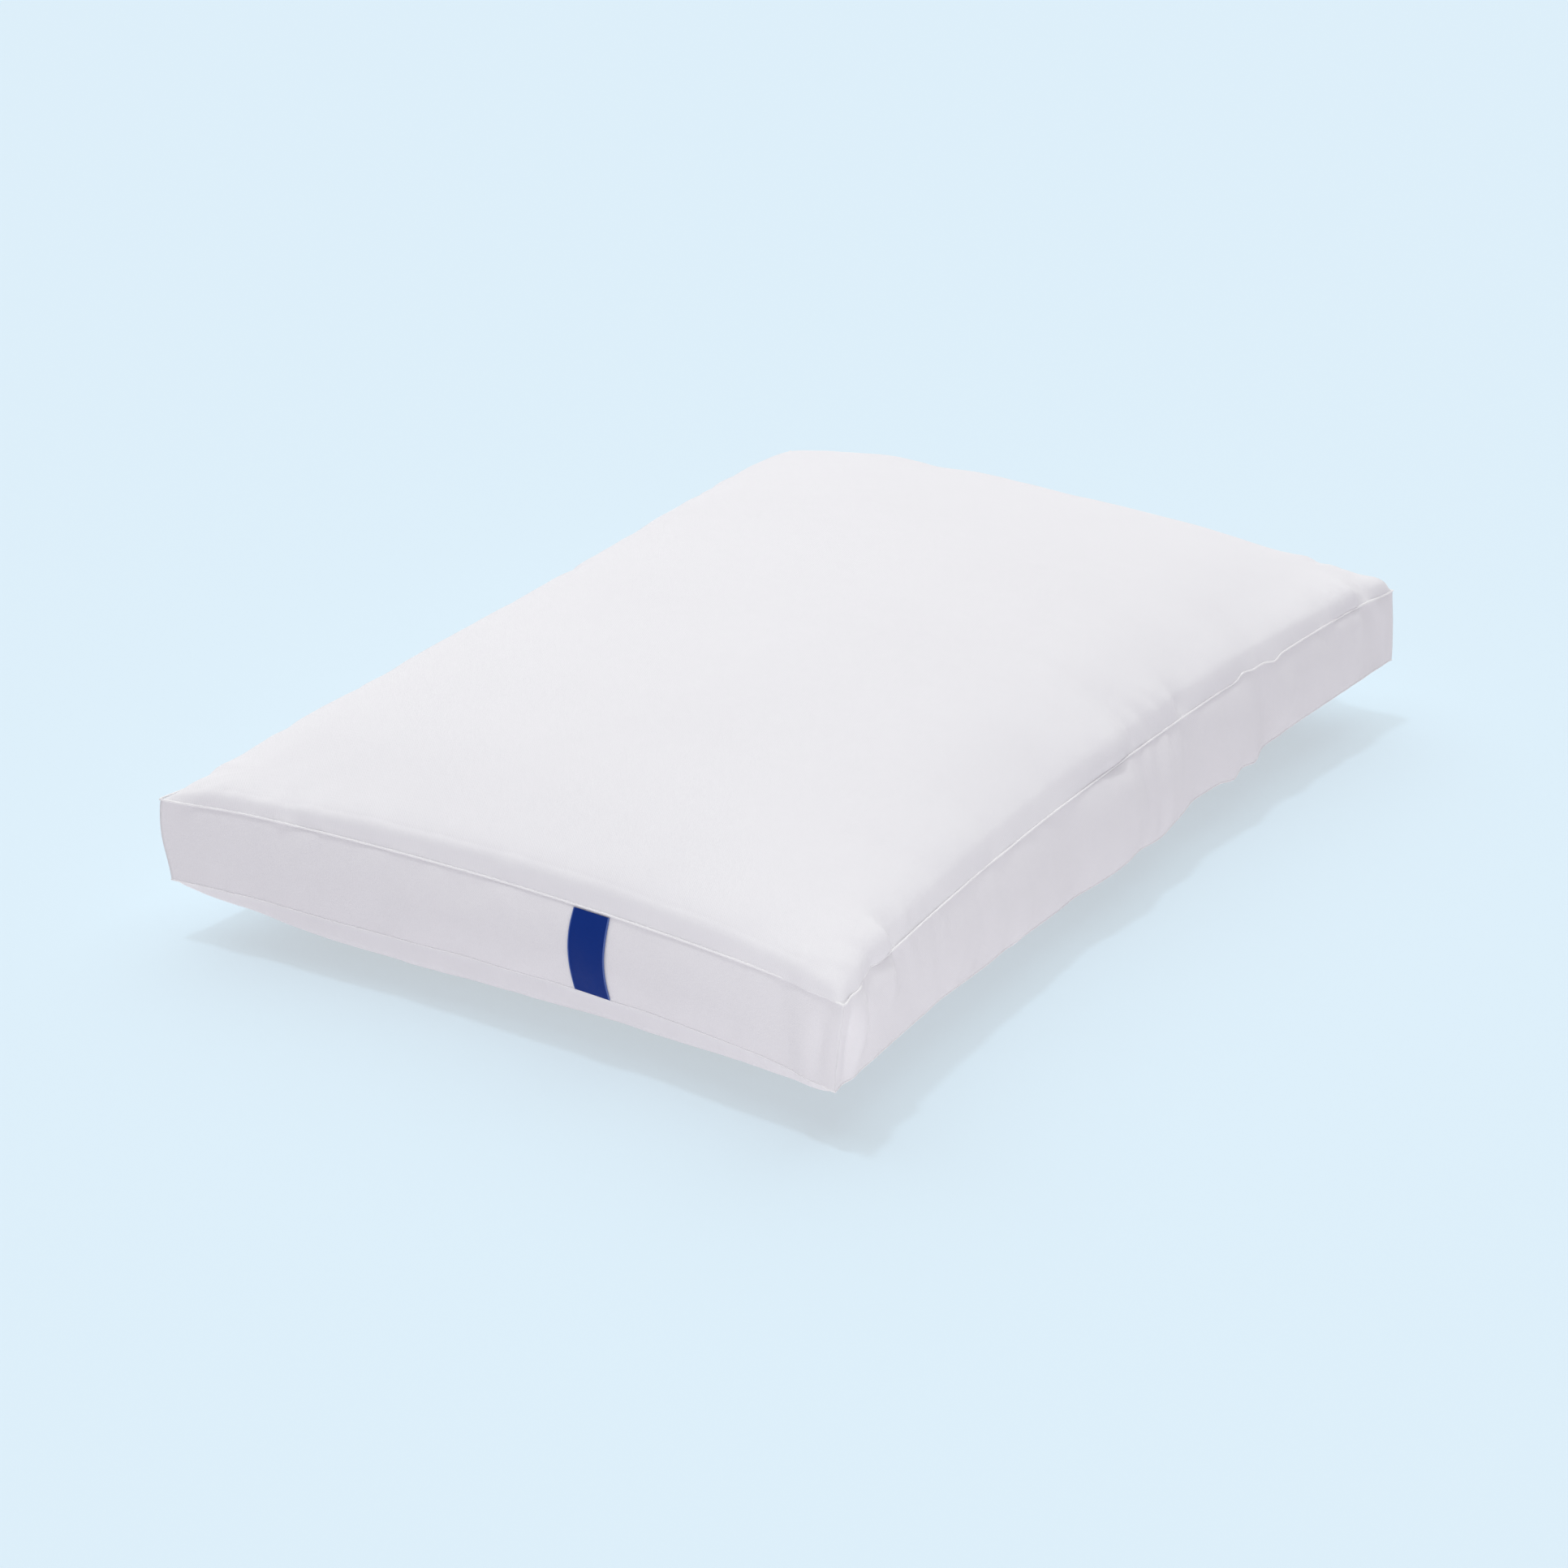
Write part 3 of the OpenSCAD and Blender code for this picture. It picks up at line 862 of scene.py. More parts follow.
class Nodes:
    """Short ways to place and join shader nodes in a tree."""

    def __init__(self, tree: bpy.types.NodeTree) -> None:
        """Keeps the tree that nodes are added to."""
        self.tree = tree

    def add(self, kind: str, **settings: object) -> bpy.types.Node:
        """Adds a node and sets its properties.

        Args:
            kind: The node's type.
            settings: Property name to value.

        Returns:
            The node.
        """
        made = self.tree.nodes.new(kind)
        for name, value in settings.items():
            setattr(made, name, value)
        return made

    def feed(self, socket: bpy.types.NodeSocket, value: object) -> None:
        """Links a socket or sets its value.

        Args:
            socket: The socket to feed.
            value: Another socket, or a plain value.
        """
        if isinstance(value, bpy.types.NodeSocket):
            self.tree.links.new(value, socket)
        else:
            socket.default_value = value

    def maths(self, operation: str, *values: object) -> bpy.types.NodeSocket:
        """Adds a Math node and returns its result.

        Args:
            operation: The node's operation.
            values: Sockets or numbers, in order.

        Returns:
            The node's result.
        """
        made = self.add("ShaderNodeMath", operation=operation)
        for socket, value in zip(made.inputs, values):
            self.feed(socket, value)
        return made.outputs[0]

    def scaled(self, vector: object, scale: Place) -> bpy.types.NodeSocket:
        """Multiplies a vector by three scales.

        Args:
            vector: The vector's socket.
            scale: The three scales.

        Returns:
            The scaled vector.
        """
        made = self.add("ShaderNodeVectorMath", operation="MULTIPLY")
        self.feed(made.inputs[0], vector)
        made.inputs[1].default_value = scale
        return made.outputs[0]

    def noise(self, vector: object, scale: object, detail: float = 3.0) -> bpy.types.NodeSocket:
        """Adds a Noise texture and returns its value.

        Args:
            vector: Where the noise is read.
            scale: Its scale.
            detail: Its finer layers.

        Returns:
            The noise's value.
        """
        made = self.add("ShaderNodeTexNoise")
        self.feed(made.inputs["Vector"], vector)
        self.feed(made.inputs["Scale"], scale)
        made.inputs["Detail"].default_value = detail
        return made.outputs["Fac"]

    def mixed(self, share: object, first: object, second: object) -> bpy.types.NodeSocket:
        """Mixes two colours.

        Args:
            share: Share of the second colour.
            first: The first colour.
            second: The second colour.

        Returns:
            The mixed colour.
        """
        made = self.add("ShaderNodeMix", data_type="RGBA")
        self.feed(made.inputs["Factor"], share)
        self.feed(made.inputs[6], first)
        self.feed(made.inputs[7], second)
        return made.outputs[2]


def new_group(
    name: str, inputs: dict[str, tuple[str, object]], outputs: dict[str, str]
) -> tuple[bpy.types.NodeTree, Nodes, bpy.types.Node, bpy.types.Node]:
    """Makes an empty shader node group with named sockets.

    Args:
        name: Name of the group.
        inputs: Socket name to socket kind and default value.
        outputs: Socket name to socket kind.

    Returns:
        The group, its node helper, its input node and its output node.
    """
    tree = bpy.data.node_groups.new(name, "ShaderNodeTree")
    for socket, (kind, value) in inputs.items():
        made = tree.interface.new_socket(socket, in_out="INPUT", socket_type=kind)
        if value is not None:
            made.default_value = value
    for socket, kind in outputs.items():
        tree.interface.new_socket(socket, in_out="OUTPUT", socket_type=kind)
    nodes = Nodes(tree)
    return tree, nodes, nodes.add("NodeGroupInput"), nodes.add("NodeGroupOutput")


def weave_group() -> bpy.types.NodeTree:
    """Plain weave with uneven threads, a soft mottle and painted shade in the low points between
    threads.

    Returns:
        A group that gives colour, roughness and height from the cut cloth's flat place.
    """
    tree, nodes, given, out = new_group(
        "plain_weave",
        {
            "Cut": ("NodeSocketVector", None),
            "Place": ("NodeSocketVector", None),
            "Threads": ("NodeSocketFloat", 1800.0),
            "Light": ("NodeSocketColor", (0.9, 0.9, 0.9, 1)),
            "Shade": ("NodeSocketColor", (0.8, 0.8, 0.8, 1)),
            "Roughness": ("NodeSocketFloat", 0.8),
            "Slub": ("NodeSocketFloat", 0.3),
        },
        {"Colour": "NodeSocketColor", "Roughness": "NodeSocketFloat", "Height": "NodeSocketFloat"},
    )
    along_thread, over_threads = 25, 900
    mottle_scale, grain_scale = 9.0, 260.0
    mottle_share, gap_painted_shade_share, slub_share = 0.9, -0.3, 0.35
    apart = nodes.add("ShaderNodeSeparateXYZ")
    nodes.feed(apart.inputs[0], given.outputs["Cut"])
    turn = nodes.maths("MULTIPLY", given.outputs["Threads"], math.pi)
    warp = nodes.maths("SINE", nodes.maths("MULTIPLY", apart.outputs[0], turn))
    weft = nodes.maths("SINE", nodes.maths("MULTIPLY", apart.outputs[1], turn))
    cross = nodes.maths("MULTIPLY_ADD", nodes.maths("MULTIPLY", warp, weft), 0.5, 0.5)
    warp_scale, weft_scale = (over_threads, along_thread, 1), (along_thread, over_threads, 1)
    long_warp = nodes.noise(nodes.scaled(given.outputs["Cut"], warp_scale), 1.0, 2.0)
    long_weft = nodes.noise(nodes.scaled(given.outputs["Cut"], weft_scale), 1.0, 2.0)
    slub = nodes.maths("MULTIPLY", nodes.maths("ADD", long_warp, long_weft), given.outputs["Slub"])
    mottle = nodes.noise(given.outputs["Place"], mottle_scale, 4.0)
    grain = nodes.noise(given.outputs["Place"], grain_scale, 2.0)
    mottled = nodes.maths("MULTIPLY", mottle, mottle_share)
    # The low points of the weave are coloured darker: painted shade, on top of the mottle's and the
    # slubs' own tone.
    dark = nodes.maths("MULTIPLY_ADD", cross, gap_painted_shade_share, mottled)
    dark = nodes.maths("MULTIPLY_ADD", slub, slub_share, dark)
    clamp = nodes.add("ShaderNodeClamp")
    nodes.feed(clamp.inputs[0], dark)
    mix = nodes.mixed(clamp.outputs[0], given.outputs["Light"], given.outputs["Shade"])
    nodes.feed(out.inputs["Colour"], mix)
    uneven = nodes.maths("SUBTRACT", grain, 0.5)
    rough = nodes.maths("MULTIPLY_ADD", uneven, 0.2, given.outputs["Roughness"])
    nodes.feed(out.inputs["Roughness"], nodes.maths("MULTIPLY_ADD", cross, -0.08, rough))
    nodes.feed(out.inputs["Height"], nodes.maths("MULTIPLY_ADD", slub, 0.8, cross))
    return tree


def crinkle_group() -> bpy.types.NodeTree:
    """Faint creases that thin cloth keeps.

    Returns:
        A group that gives a height.
    """
    tree, nodes, given, out = new_group(
        "cloth_crinkle",
        {"Place": ("NodeSocketVector", None), "Size": ("NodeSocketFloat", 40.0)},
        {"Height": "NodeSocketFloat"},
    )
    bend = nodes.add("ShaderNodeTexNoise")
    nodes.feed(bend.inputs["Vector"], given.outputs["Place"])
    bend.inputs["Scale"].default_value = 12.0
    push = nodes.add("ShaderNodeVectorMath", operation="MULTIPLY_ADD")
    nodes.feed(push.inputs[0], bend.outputs["Color"])
    push.inputs[1].default_value = (0.03, 0.03, 0.03)
    nodes.feed(push.inputs[2], given.outputs["Place"])
    ridge = nodes.add("ShaderNodeTexNoise", noise_type="RIDGED_MULTIFRACTAL")
    nodes.feed(ridge.inputs["Vector"], push.outputs[0])
    nodes.feed(ridge.inputs["Scale"], given.outputs["Size"])
    ridge.inputs["Detail"].default_value = 2.0
    soft = nodes.noise(given.outputs["Place"], 22.0, 2.0)
    nodes.feed(
        out.inputs["Height"], nodes.maths("MULTIPLY_ADD", ridge.outputs["Fac"], 0.25, soft)
    )
    return tree


def rub_group() -> bpy.types.NodeTree:
    """Fine one-way rubbing, as on tumbled metal or drawn plastic.

    Returns:
        A group that gives colour, roughness and height.
    """
    tree, nodes, given, out = new_group(
        "drawn_grain",
        {
            "Place": ("NodeSocketVector", None),
            "Light": ("NodeSocketColor", (0.7, 0.7, 0.7, 1)),
            "Shade": ("NodeSocketColor", (0.5, 0.5, 0.5, 1)),
            "Roughness": ("NodeSocketFloat", 0.35),
        },
        {"Colour": "NodeSocketColor", "Roughness": "NodeSocketFloat", "Height": "NodeSocketFloat"},
    )
    drawn = nodes.noise(nodes.scaled(given.outputs["Place"], (500, 6000, 6000)), 1.0, 3.0)
    stain = nodes.noise(given.outputs["Place"], 300.0, 3.0)
    mix = nodes.mixed(stain, given.outputs["Light"], given.outputs["Shade"])
    nodes.feed(out.inputs["Colour"], mix)
    rough = nodes.maths("MULTIPLY_ADD", drawn, 0.25, given.outputs["Roughness"])
    nodes.feed(out.inputs["Roughness"], rough)
    nodes.feed(out.inputs["Height"], drawn)
    return tree


def placed_group(nodes: Nodes, group: str, values: dict[str, object]) -> bpy.types.Node:
    """Places a built group in a material.

    Args:
        nodes: Helper of the material's tree.
        group: Name of the group.
        values: Socket name to value or link.

    Returns:
        The group's node.
    """
    made = nodes.add("ShaderNodeGroup", node_tree=bpy.data.node_groups[group])
    for name, value in values.items():
        nodes.feed(made.inputs[name], value)
    return made


def dressed_shader(name: str) -> tuple[bpy.types.Material, Nodes, bpy.types.Node]:
    """Makes a material with one Principled shader.

    Args:
        name: Name of the material.

    Returns:
        The material, its node helper and its shader.
    """
    material = bpy.data.materials.new(name)
    material.use_nodes = True
    nodes = Nodes(material.node_tree)
    return material, nodes, material.node_tree.nodes["Principled BSDF"]


@dataclass(frozen=True)
class ClothFinish:
    """A woven cloth: its threads, colours and sheen."""

    name: str
    light: Colour
    shade: Colour
    threads: float = 1800.0
    roughness: float = 0.85
    slub: float = 0.3
    weave_depth: float = 0.00006
    crinkle: float = 0.0
    crinkle_size: float = 40.0
    sheen: float = 0.15
    specular: float = 0.3
    selvedge: Colour | None = None
    selvedge_at: tuple[float, float] = (0.0, 0.0)

    def edged(self, nodes: Nodes, cut: object, colour: object) -> object:
        """Colours the two woven edges of a narrow tape.

        Args:
            nodes: Helper of the material's tree.
            cut: The cut cloth's flat place.
            colour: Colour of the tape between its edges.

        Returns:
            The colour with the edges, or the same colour if the cloth has none.
        """
        if self.selvedge is None:
            return colour
        apart = nodes.add("ShaderNodeSeparateXYZ")
        nodes.feed(apart.inputs[0], cut)
        middle, half = self.selvedge_at
        away = nodes.maths("ABSOLUTE", nodes.maths("SUBTRACT", apart.outputs[0], middle))
        return nodes.mixed(nodes.maths("GREATER_THAN", away, half), colour, (*self.selvedge, 1))

    def material(self) -> bpy.types.Material:
        """Builds the cloth's material.

        Returns:
            The material.
        """
        made, nodes, shader = dressed_shader(self.name)
        place = nodes.add("ShaderNodeTexCoord").outputs["Object"]
        cut = nodes.add("ShaderNodeAttribute", attribute_name="cut").outputs["Vector"]
        weave = placed_group(
            nodes,
            "plain_weave",
            {
                "Cut": cut,
                "Place": place,
                "Threads": self.threads,
                "Light": (*self.light, 1),
                "Shade": (*self.shade, 1),
                "Roughness": self.roughness,
                "Slub": self.slub,
            },
        )
        nodes.feed(shader.inputs["Base Color"], self.edged(nodes, cut, weave.outputs["Colour"]))
        nodes.feed(shader.inputs["Roughness"], weave.outputs["Roughness"])
        bump = nodes.add("ShaderNodeBump")
        bump.inputs["Distance"].default_value = self.weave_depth
        nodes.feed(bump.inputs["Height"], weave.outputs["Height"])
        if self.crinkle:
            creases = placed_group(
                nodes, "cloth_crinkle", {"Place": place, "Size": self.crinkle_size}
            )
            under = nodes.add("ShaderNodeBump")
            under.inputs["Distance"].default_value = self.crinkle
            nodes.feed(under.inputs["Height"], creases.outputs["Height"])
            nodes.feed(bump.inputs["Normal"], under.outputs["Normal"])
        nodes.feed(shader.inputs["Normal"], bump.outputs["Normal"])
        shader.inputs["Sheen Weight"].default_value = self.sheen
        shader.inputs["Sheen Roughness"].default_value = 0.5
        shader.inputs["Specular IOR Level"].default_value = self.specular
        return made


@dataclass(frozen=True)
class HardFinish:
    """Metal or plastic with fine drawn grain."""

    name: str
    light: Colour
    shade: Colour
    metallic: float
    roughness: float

    def material(self) -> bpy.types.Material:
        """Builds the hard material.

        Returns:
            The material.
        """
        made, nodes, shader = dressed_shader(self.name)
        place = nodes.add("ShaderNodeTexCoord").outputs["Object"]
        grain = placed_group(
            nodes,
            "drawn_grain",
            {
                "Place": place,
                "Light": (*self.light, 1),
                "Shade": (*self.shade, 1),
                "Roughness": self.roughness,
            },
        )
        nodes.feed(shader.inputs["Base Color"], grain.outputs["Colour"])
        nodes.feed(shader.inputs["Roughness"], grain.outputs["Roughness"])
        shader.inputs["Metallic"].default_value = self.metallic
        bump = nodes.add("ShaderNodeBump")
        bump.inputs["Distance"].default_value = 0.00002
        nodes.feed(bump.inputs["Height"], grain.outputs["Height"])
        nodes.feed(shader.inputs["Normal"], bump.outputs["Normal"])
        return made


@dataclass(frozen=True)
class FibreFinish:
    """Loose white fibre filling."""

    name: str
    light: Colour = (0.9, 0.9, 0.88)
    shade: Colour = (0.74, 0.74, 0.72)

    def material(self) -> bpy.types.Material:
        """Builds the filling's material.

        Returns:
            The material.
        """
        made, nodes, shader = dressed_shader(self.name)
        place = nodes.add("ShaderNodeTexCoord").outputs["Object"]
        clump = nodes.noise(place, 45.0, 5.0)
        strand = nodes.noise(nodes.scaled(place, (1500, 260, 700)), 1.0, 4.0)
        nodes.feed(
            shader.inputs["Base Color"],
            nodes.mixed(nodes.maths("MULTIPLY", clump, strand), (*self.shade, 1), (*self.light, 1)),
        )
        nodes.feed(shader.inputs["Roughness"], nodes.maths("MULTIPLY_ADD", strand, 0.2, 0.75))
        bump = nodes.add("ShaderNodeBump")
        bump.inputs["Distance"].default_value = 0.002
        nodes.feed(bump.inputs["Height"], nodes.maths("MULTIPLY_ADD", strand, 0.4, clump))
        nodes.feed(shader.inputs["Normal"], bump.outputs["Normal"])
        shader.inputs["Sheen Weight"].default_value = 0.4
        return made


class Finish(Enum):
    """Every finish on the pillow."""

    COVER = ClothFinish(
        "cover_cloth", (0.885, 0.883, 0.9), (0.855, 0.852, 0.87), crinkle=0.0008, sheen=0.1
    )
    # The gusset's tones are tuned apart from the top panel's, to match how bright and lilac its
    # shaded sides look. Their small difference from the cover's is painted light.
    GUSSET = ClothFinish(
        "gusset_cloth", (0.888, 0.883, 0.899), (0.853, 0.846, 0.862), crinkle=0.0011, sheen=0.1
    )
    # The piping's colour is whiter than the cover's. Part of that is a painted highlight, so the
    # thin cord reads as catching the light.
    PIPING = ClothFinish(
        "piping_cloth", (0.97, 0.97, 0.97), (0.94, 0.94, 0.94), 2600, 0.7, weave_depth=0.0001
    )
    LABEL = ClothFinish(
        "woven_label",
        (0.006, 0.036, 0.245),
        (0.0045, 0.028, 0.19),
        4200,
        0.55,
        slub=0.5,
        weave_depth=0.00004,
        crinkle=0.0003,
        sheen=0.0,
        specular=0.08,
        selvedge=(0.10, 0.16, 0.42),
        selvedge_at=(0.012, 0.0114),
    )
    CARE = ClothFinish(
        "care_label", (0.9, 0.9, 0.89), (0.86, 0.86, 0.85), 3200, 0.5, crinkle=0.0008, specular=0.5
    )
    TAPE = ClothFinish(
        "zip_tape", (0.86, 0.86, 0.86), (0.76, 0.76, 0.76), 1100, 0.85, weave_depth=0.00015
    )
    COIL = HardFinish("zip_coil", (0.86, 0.86, 0.85), (0.8, 0.8, 0.79), 0.0, 0.35)
    METAL = HardFinish("zip_metal", (0.66, 0.65, 0.62), (0.5, 0.49, 0.47), 1.0, 0.28)
    FIBRE = FibreFinish("fibre_fill")
    LINING = ClothFinish("lining_cloth", (0.86, 0.87, 0.88), (0.8, 0.81, 0.82), 1400, 0.9)
    INNER = ClothFinish(
        "inner_cover_cloth", (0.88, 0.88, 0.88), (0.83, 0.83, 0.83), 1600, crinkle=0.0008
    )


class Wardrobe:
    """Builds each finish once and puts it on pieces."""

    def __init__(self) -> None:
        """Builds the shared node groups and every material."""
        weave_group()
        crinkle_group()
        rub_group()
        self.made = {finish: finish.value.material() for finish in Finish}

    def fit(
        self, piece: bpy.types.Object, finish: Finish, node: str, body: str = "pillow"
    ) -> bpy.types.Object:
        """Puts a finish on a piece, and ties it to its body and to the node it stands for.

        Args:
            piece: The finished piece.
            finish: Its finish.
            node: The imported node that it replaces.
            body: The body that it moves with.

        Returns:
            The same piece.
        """
        piece.data.materials.clear()
        piece.data.materials.append(self.made[finish])
        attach(piece, body)
        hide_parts(node)
        return piece


# ---------- Sub-assemblies ----------


def flat_of(points: Array, start: float = 0.0) -> Array:
    """Flat place of each point of a strip, from its lengths over the surface."""
    along = arc_from_start(points, 0)[:, :1] + start
    across = arc_from_start(points, 1)
    return np.stack([np.broadcast_to(along, across.shape), across], axis=-1)


@dataclass
class Cover:
    """The sewn cover: two panels, the gusset's strips and the corded piping."""

    cloth: CoverCloth
    wardrobe: Wardrobe
    cloth_t: float = 0.0009

    def panels(self) -> list[bpy.types.Object]:
        """Builds the top and the bottom panel.

        Returns:
            The two panels.
        """
        form, cloth = self.cloth.form, self.cloth
        cut = form.flat_panel(cloth.u, cloth.v)
        top = sheet_piece("cover_top_panel", cloth.top, cut, self.cloth_t)
        bottom = sheet_piece("cover_bottom_panel", cloth.bottom[::-1], cut[::-1], self.cloth_t)
        self.wardrobe.fit(top, Finish.COVER, "top_panel")
        self.wardrobe.fit(bottom, Finish.COVER, "bottom_panel")
        return [top, bottom]

    def strips(self) -> list[bpy.types.Object]:
        """Builds the gusset's four strips.

        Returns:
            The main strip, the corner strip and the two strips beside the zip.
        """
        cloth = self.cloth
        sides, rear = cloth.sides, cloth.along(Side.REAR)
        first, last = nearest(rear, -cloth.zip_share), nearest(rear, cloth.zip_share)
        join = nearest(cloth.v, cloth.join_share)
        low, high = (nearest(cloth.heights, edge) for edge in cloth.mouth)
        main = np.concatenate(
            [
                sides[Side.REAR][last:-1],
                sides[Side.LEFT][:-1],
                sides[Side.FRONT][:-1],
                sides[Side.RIGHT][: join + 1],
            ]
        )
        corner = np.concatenate([sides[Side.RIGHT][join:-1], sides[Side.REAR][: first + 1]])
        middle = sides[Side.REAR][first : last + 1]
        made = []
        for name, node, points in (
            ("gusset_main", "gusset_main_strip", main),
            ("gusset_corner", "gusset_corner_strip", corner),
            ("gusset_above_zip", "gusset_zip_strip_upper", middle[:, high:]),
            ("gusset_below_zip", "gusset_zip_strip_lower", middle[:, : low + 1]),
        ):
            cut = flat_of(points)
            piece = sheet_piece(name, points, cut, self.cloth_t)
            self.wardrobe.fit(piece, Finish.GUSSET, node)
            made.append(piece)
        return made

    def piping(self) -> list[bpy.types.Object]:
        """Builds the corded ridge in each seam.

        Returns:
            The upper and the lower piping.
        """
        made = []
        for name, node, height, radius, stand, rise in (
            ("piping_upper", "top_piping", -1, 0.0006, 0.0003, 0.0006),
            ("piping_lower", "bottom_piping", 0, 0.0005, 0.0, 0.0),
        ):
            path = self.cloth.seam(height)
            along = np.roll(path, -1, 0) - np.roll(path, 1, 0)
            out = np.stack([along[:, 1], -along[:, 0], 0 * along[:, 0]], -1)
            out /= np.linalg.norm(out, axis=1, keepdims=True)
            path = path + out * stand + [0, 0, rise]
            piece = tube_piece(name, path, radius, True)
            made.append(self.wardrobe.fit(piece, Finish.PIPING, node))
        return made


@dataclass
class Labels:
    """The woven label on the labelled end, and the blank care label on the long side."""

    form: PillowForm
    wardrobe: Wardrobe
    width: float = 0.024
    thickness: float = 0.0005
    care_thickness: float = 0.0004
    lift: float = 0.0003
    tuck: float = 0.012
    curl: float = 0.0004
    columns: int = 17
    rows: int = 41
    care_clear: float = 0.0009
    care_wave: float = 0.0012
    care_swing: float = 0.002

    def woven(self, front: Array) -> bpy.types.Object:
        """Builds the woven label, which follows the gusset from seam to seam.

        Args:
            front: The gusset's outer face on the labelled end.

        Returns:
            The label.
        """
        low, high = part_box("woven_label")
        across = np.linspace(low.x, high.x, self.columns)
        columns = [
            np.stack([across, *(np.interp(across, c[:, 0], c[:, k]) for k in (1, 2))], -1)
            for c in np.moveaxis(front, 1, 0)
        ]
        rows = np.stack(columns, 1)
        share = np.linspace(0, 1, rows.shape[1])
        wanted = np.linspace(self.tuck, 1 - self.tuck, self.rows)
        points = np.stack(
            [np.stack([np.interp(wanted, share, row[:, k]) for k in range(3)], -1) for row in rows]
        )
        points[..., 1] -= self.lift + self.thickness
        edge = np.abs(np.linspace(-1, 1, len(across)))[:, None] ** 10
        points[..., 1] -= self.curl * edge * np.sin(math.pi * wanted)[None, :]
        piece = sheet_piece("label_woven", points, flat_of(points), self.thickness)
        self.wardrobe.fit(piece, Finish.LABEL, "woven_label")
        return piece

    def care(self) -> bpy.types.Object:
        """Builds the blank care label, which hangs from the lower seam.


        Returns:
            The label.
        """
        low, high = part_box("care_label")
        along = np.linspace(high.y, low.y, self.columns)
        y, z = np.meshgrid(along, np.linspace(low.z, high.z, self.columns), indexing="ij")
        hang = (high.z - z) / (high.z - low.z)
        wave = self.care_wave * hang * np.sin((y - low.y) / (high.y - low.y) * 2 * math.pi)
        share = y / (self.form.length / 2)
        seam = self.form.width / 2 - self.form.pull_side * (1 - share**2)
        swing = self.care_swing * hang**2
        points = np.stack([-seam - self.care_clear - wave - swing, y, z], -1)
        piece = sheet_piece("label_care", points, flat_of(points), self.care_thickness)
        self.wardrobe.fit(piece, Finish.CARE, "care_label")
        return piece


@dataclass
class Zip:
    """The zip: two tapes, two rows of coil, end stops, the slider and its pull."""

    form: PillowForm
    wardrobe: Wardrobe
    tape_inset: float = 0.0016
    tape_t: float = 0.0006
    behind: float = 0.005
    tape_steps: int = 132
    tape_rows: int = 10
    meet_before: float = 0.0005
    meet_run: float = 0.0015
    meet_share: float = 0.96
    mesh_depth: float = 0.0011
    wire: float = 0.0003
    coil_pitch: float = 0.0015
    points_a_turn: int = 8
    stop_bevel: float = 0.0003
    runner_bevel: float = 0.00018
    pull_bevel: float = 0.0002

    def tapes(self) -> list[bpy.types.Object]:
        """Builds the two tapes, with a thicker woven edge beside the coil.

        Returns:
            The upper and the lower tape.
        """
        made = []
        coil_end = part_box("zip_coil_upper")[1].x
        for name, node in (
            ("zip_tape_above", "zip_tape_upper"),
            ("zip_tape_below", "zip_tape_lower"),
        ):
            low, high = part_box(node)
            along = np.linspace(high.x + self.behind, low.x - self.behind, self.tape_steps + 1)
            up = np.linspace(low.z, high.z, self.tape_rows + 1)
            x, z = np.meshgrid(along, up, indexing="ij")
            # Past the ends of the coil the two tapes meet
            met = np.clip((np.abs(x) - coil_end + self.meet_before) / self.meet_run, 0, 1)
            met *= self.meet_share
            inner, outer = (low.z, high.z) if low.z > self.form.z_mid else (high.z, low.z)
            z = z + met * (self.form.z_mid - inner) * (z - outer) / (inner - outer)
            h = (z - self.form.z_low) / (self.form.z_high - self.form.z_low)
            u = x / (self.form.width / 2)
            pulled = self.form.pull_rear * (1 - 4 * h * (1 - h)) * (1 - u**2)
            y = self.form.length / 2 - self.tape_inset - pulled
            points = np.stack([x, y, z], -1)
            piece = sheet_piece(name, points, flat_of(points), self.tape_t)
            self.wardrobe.fit(piece, Finish.TAPE, node)
            made.append(piece)
        return made

    def coils(self) -> list[bpy.types.Object]:
        """Builds the two rows of wound coil.

        Returns:
            The upper and the lower row.
        """
        made = []
        for name, node, hand in (
            ("zip_coil_above", "zip_coil_upper", 1),
            ("zip_coil_below", "zip_coil_lower", -1),
        ):
            low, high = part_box(node)
            turns = round((high.x - low.x - 2 * self.wire) / self.coil_pitch)
            angle = np.linspace(0, 2 * math.pi * turns, turns * self.points_a_turn + 1)
            x = np.linspace(low.x + self.wire, high.x - self.wire, len(angle))
            y = (low.y + high.y) / 2 + ((high.y - low.y) / 2 - self.wire) * np.sin(angle)
            # The loops of each row reach past the middle, between those of the other row
            reach = (high.z - low.z + self.mesh_depth) / 2
            z = (low.z + high.z - hand * self.mesh_depth) / 2 + (reach - self.wire) * np.cos(angle)
            piece = tube_piece(name, np.stack([x, y, z], -1), self.wire, False, 0)
            made.append(self.wardrobe.fit(piece, Finish.COIL, node))
        return made

    def eased(self, node: str, name: str, body: str, bevel: float) -> bpy.types.Object:
        """Copies a packed metal part and rounds its edges.

        Args:
            node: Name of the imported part.
            name: Name of the new piece.
            body: Body that the piece moves with.
            bevel: Width of the rounded edges.

        Returns:
            The rounded piece.
        """
        bm = bmesh.new()
        bm.from_mesh(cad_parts[node].data)
        bmesh.ops.remove_doubles(bm, verts=bm.verts[:], dist=CAD_WELD)
        bmesh.ops.dissolve_limit(
            bm, angle_limit=math.radians(1), verts=bm.verts[:], edges=bm.edges[:]
        )
        sharp = [e for e in bm.edges if e.is_manifold and e.calc_face_angle(0) > SHARP_EDGE]
        bmesh.ops.bevel(
            bm,
            geom=sharp,
            offset=bevel,
            offset_type="OFFSET",
            affect="EDGES",
            segments=2,
            profile=0.5,
            material=-1,
            clamp_overlap=True,
        )
        piece = to_object(bm, name)
        piece.data.set_sharp_from_angle(angle=SHARP_EDGE)
        return self.wardrobe.fit(piece, Finish.METAL, node, body)

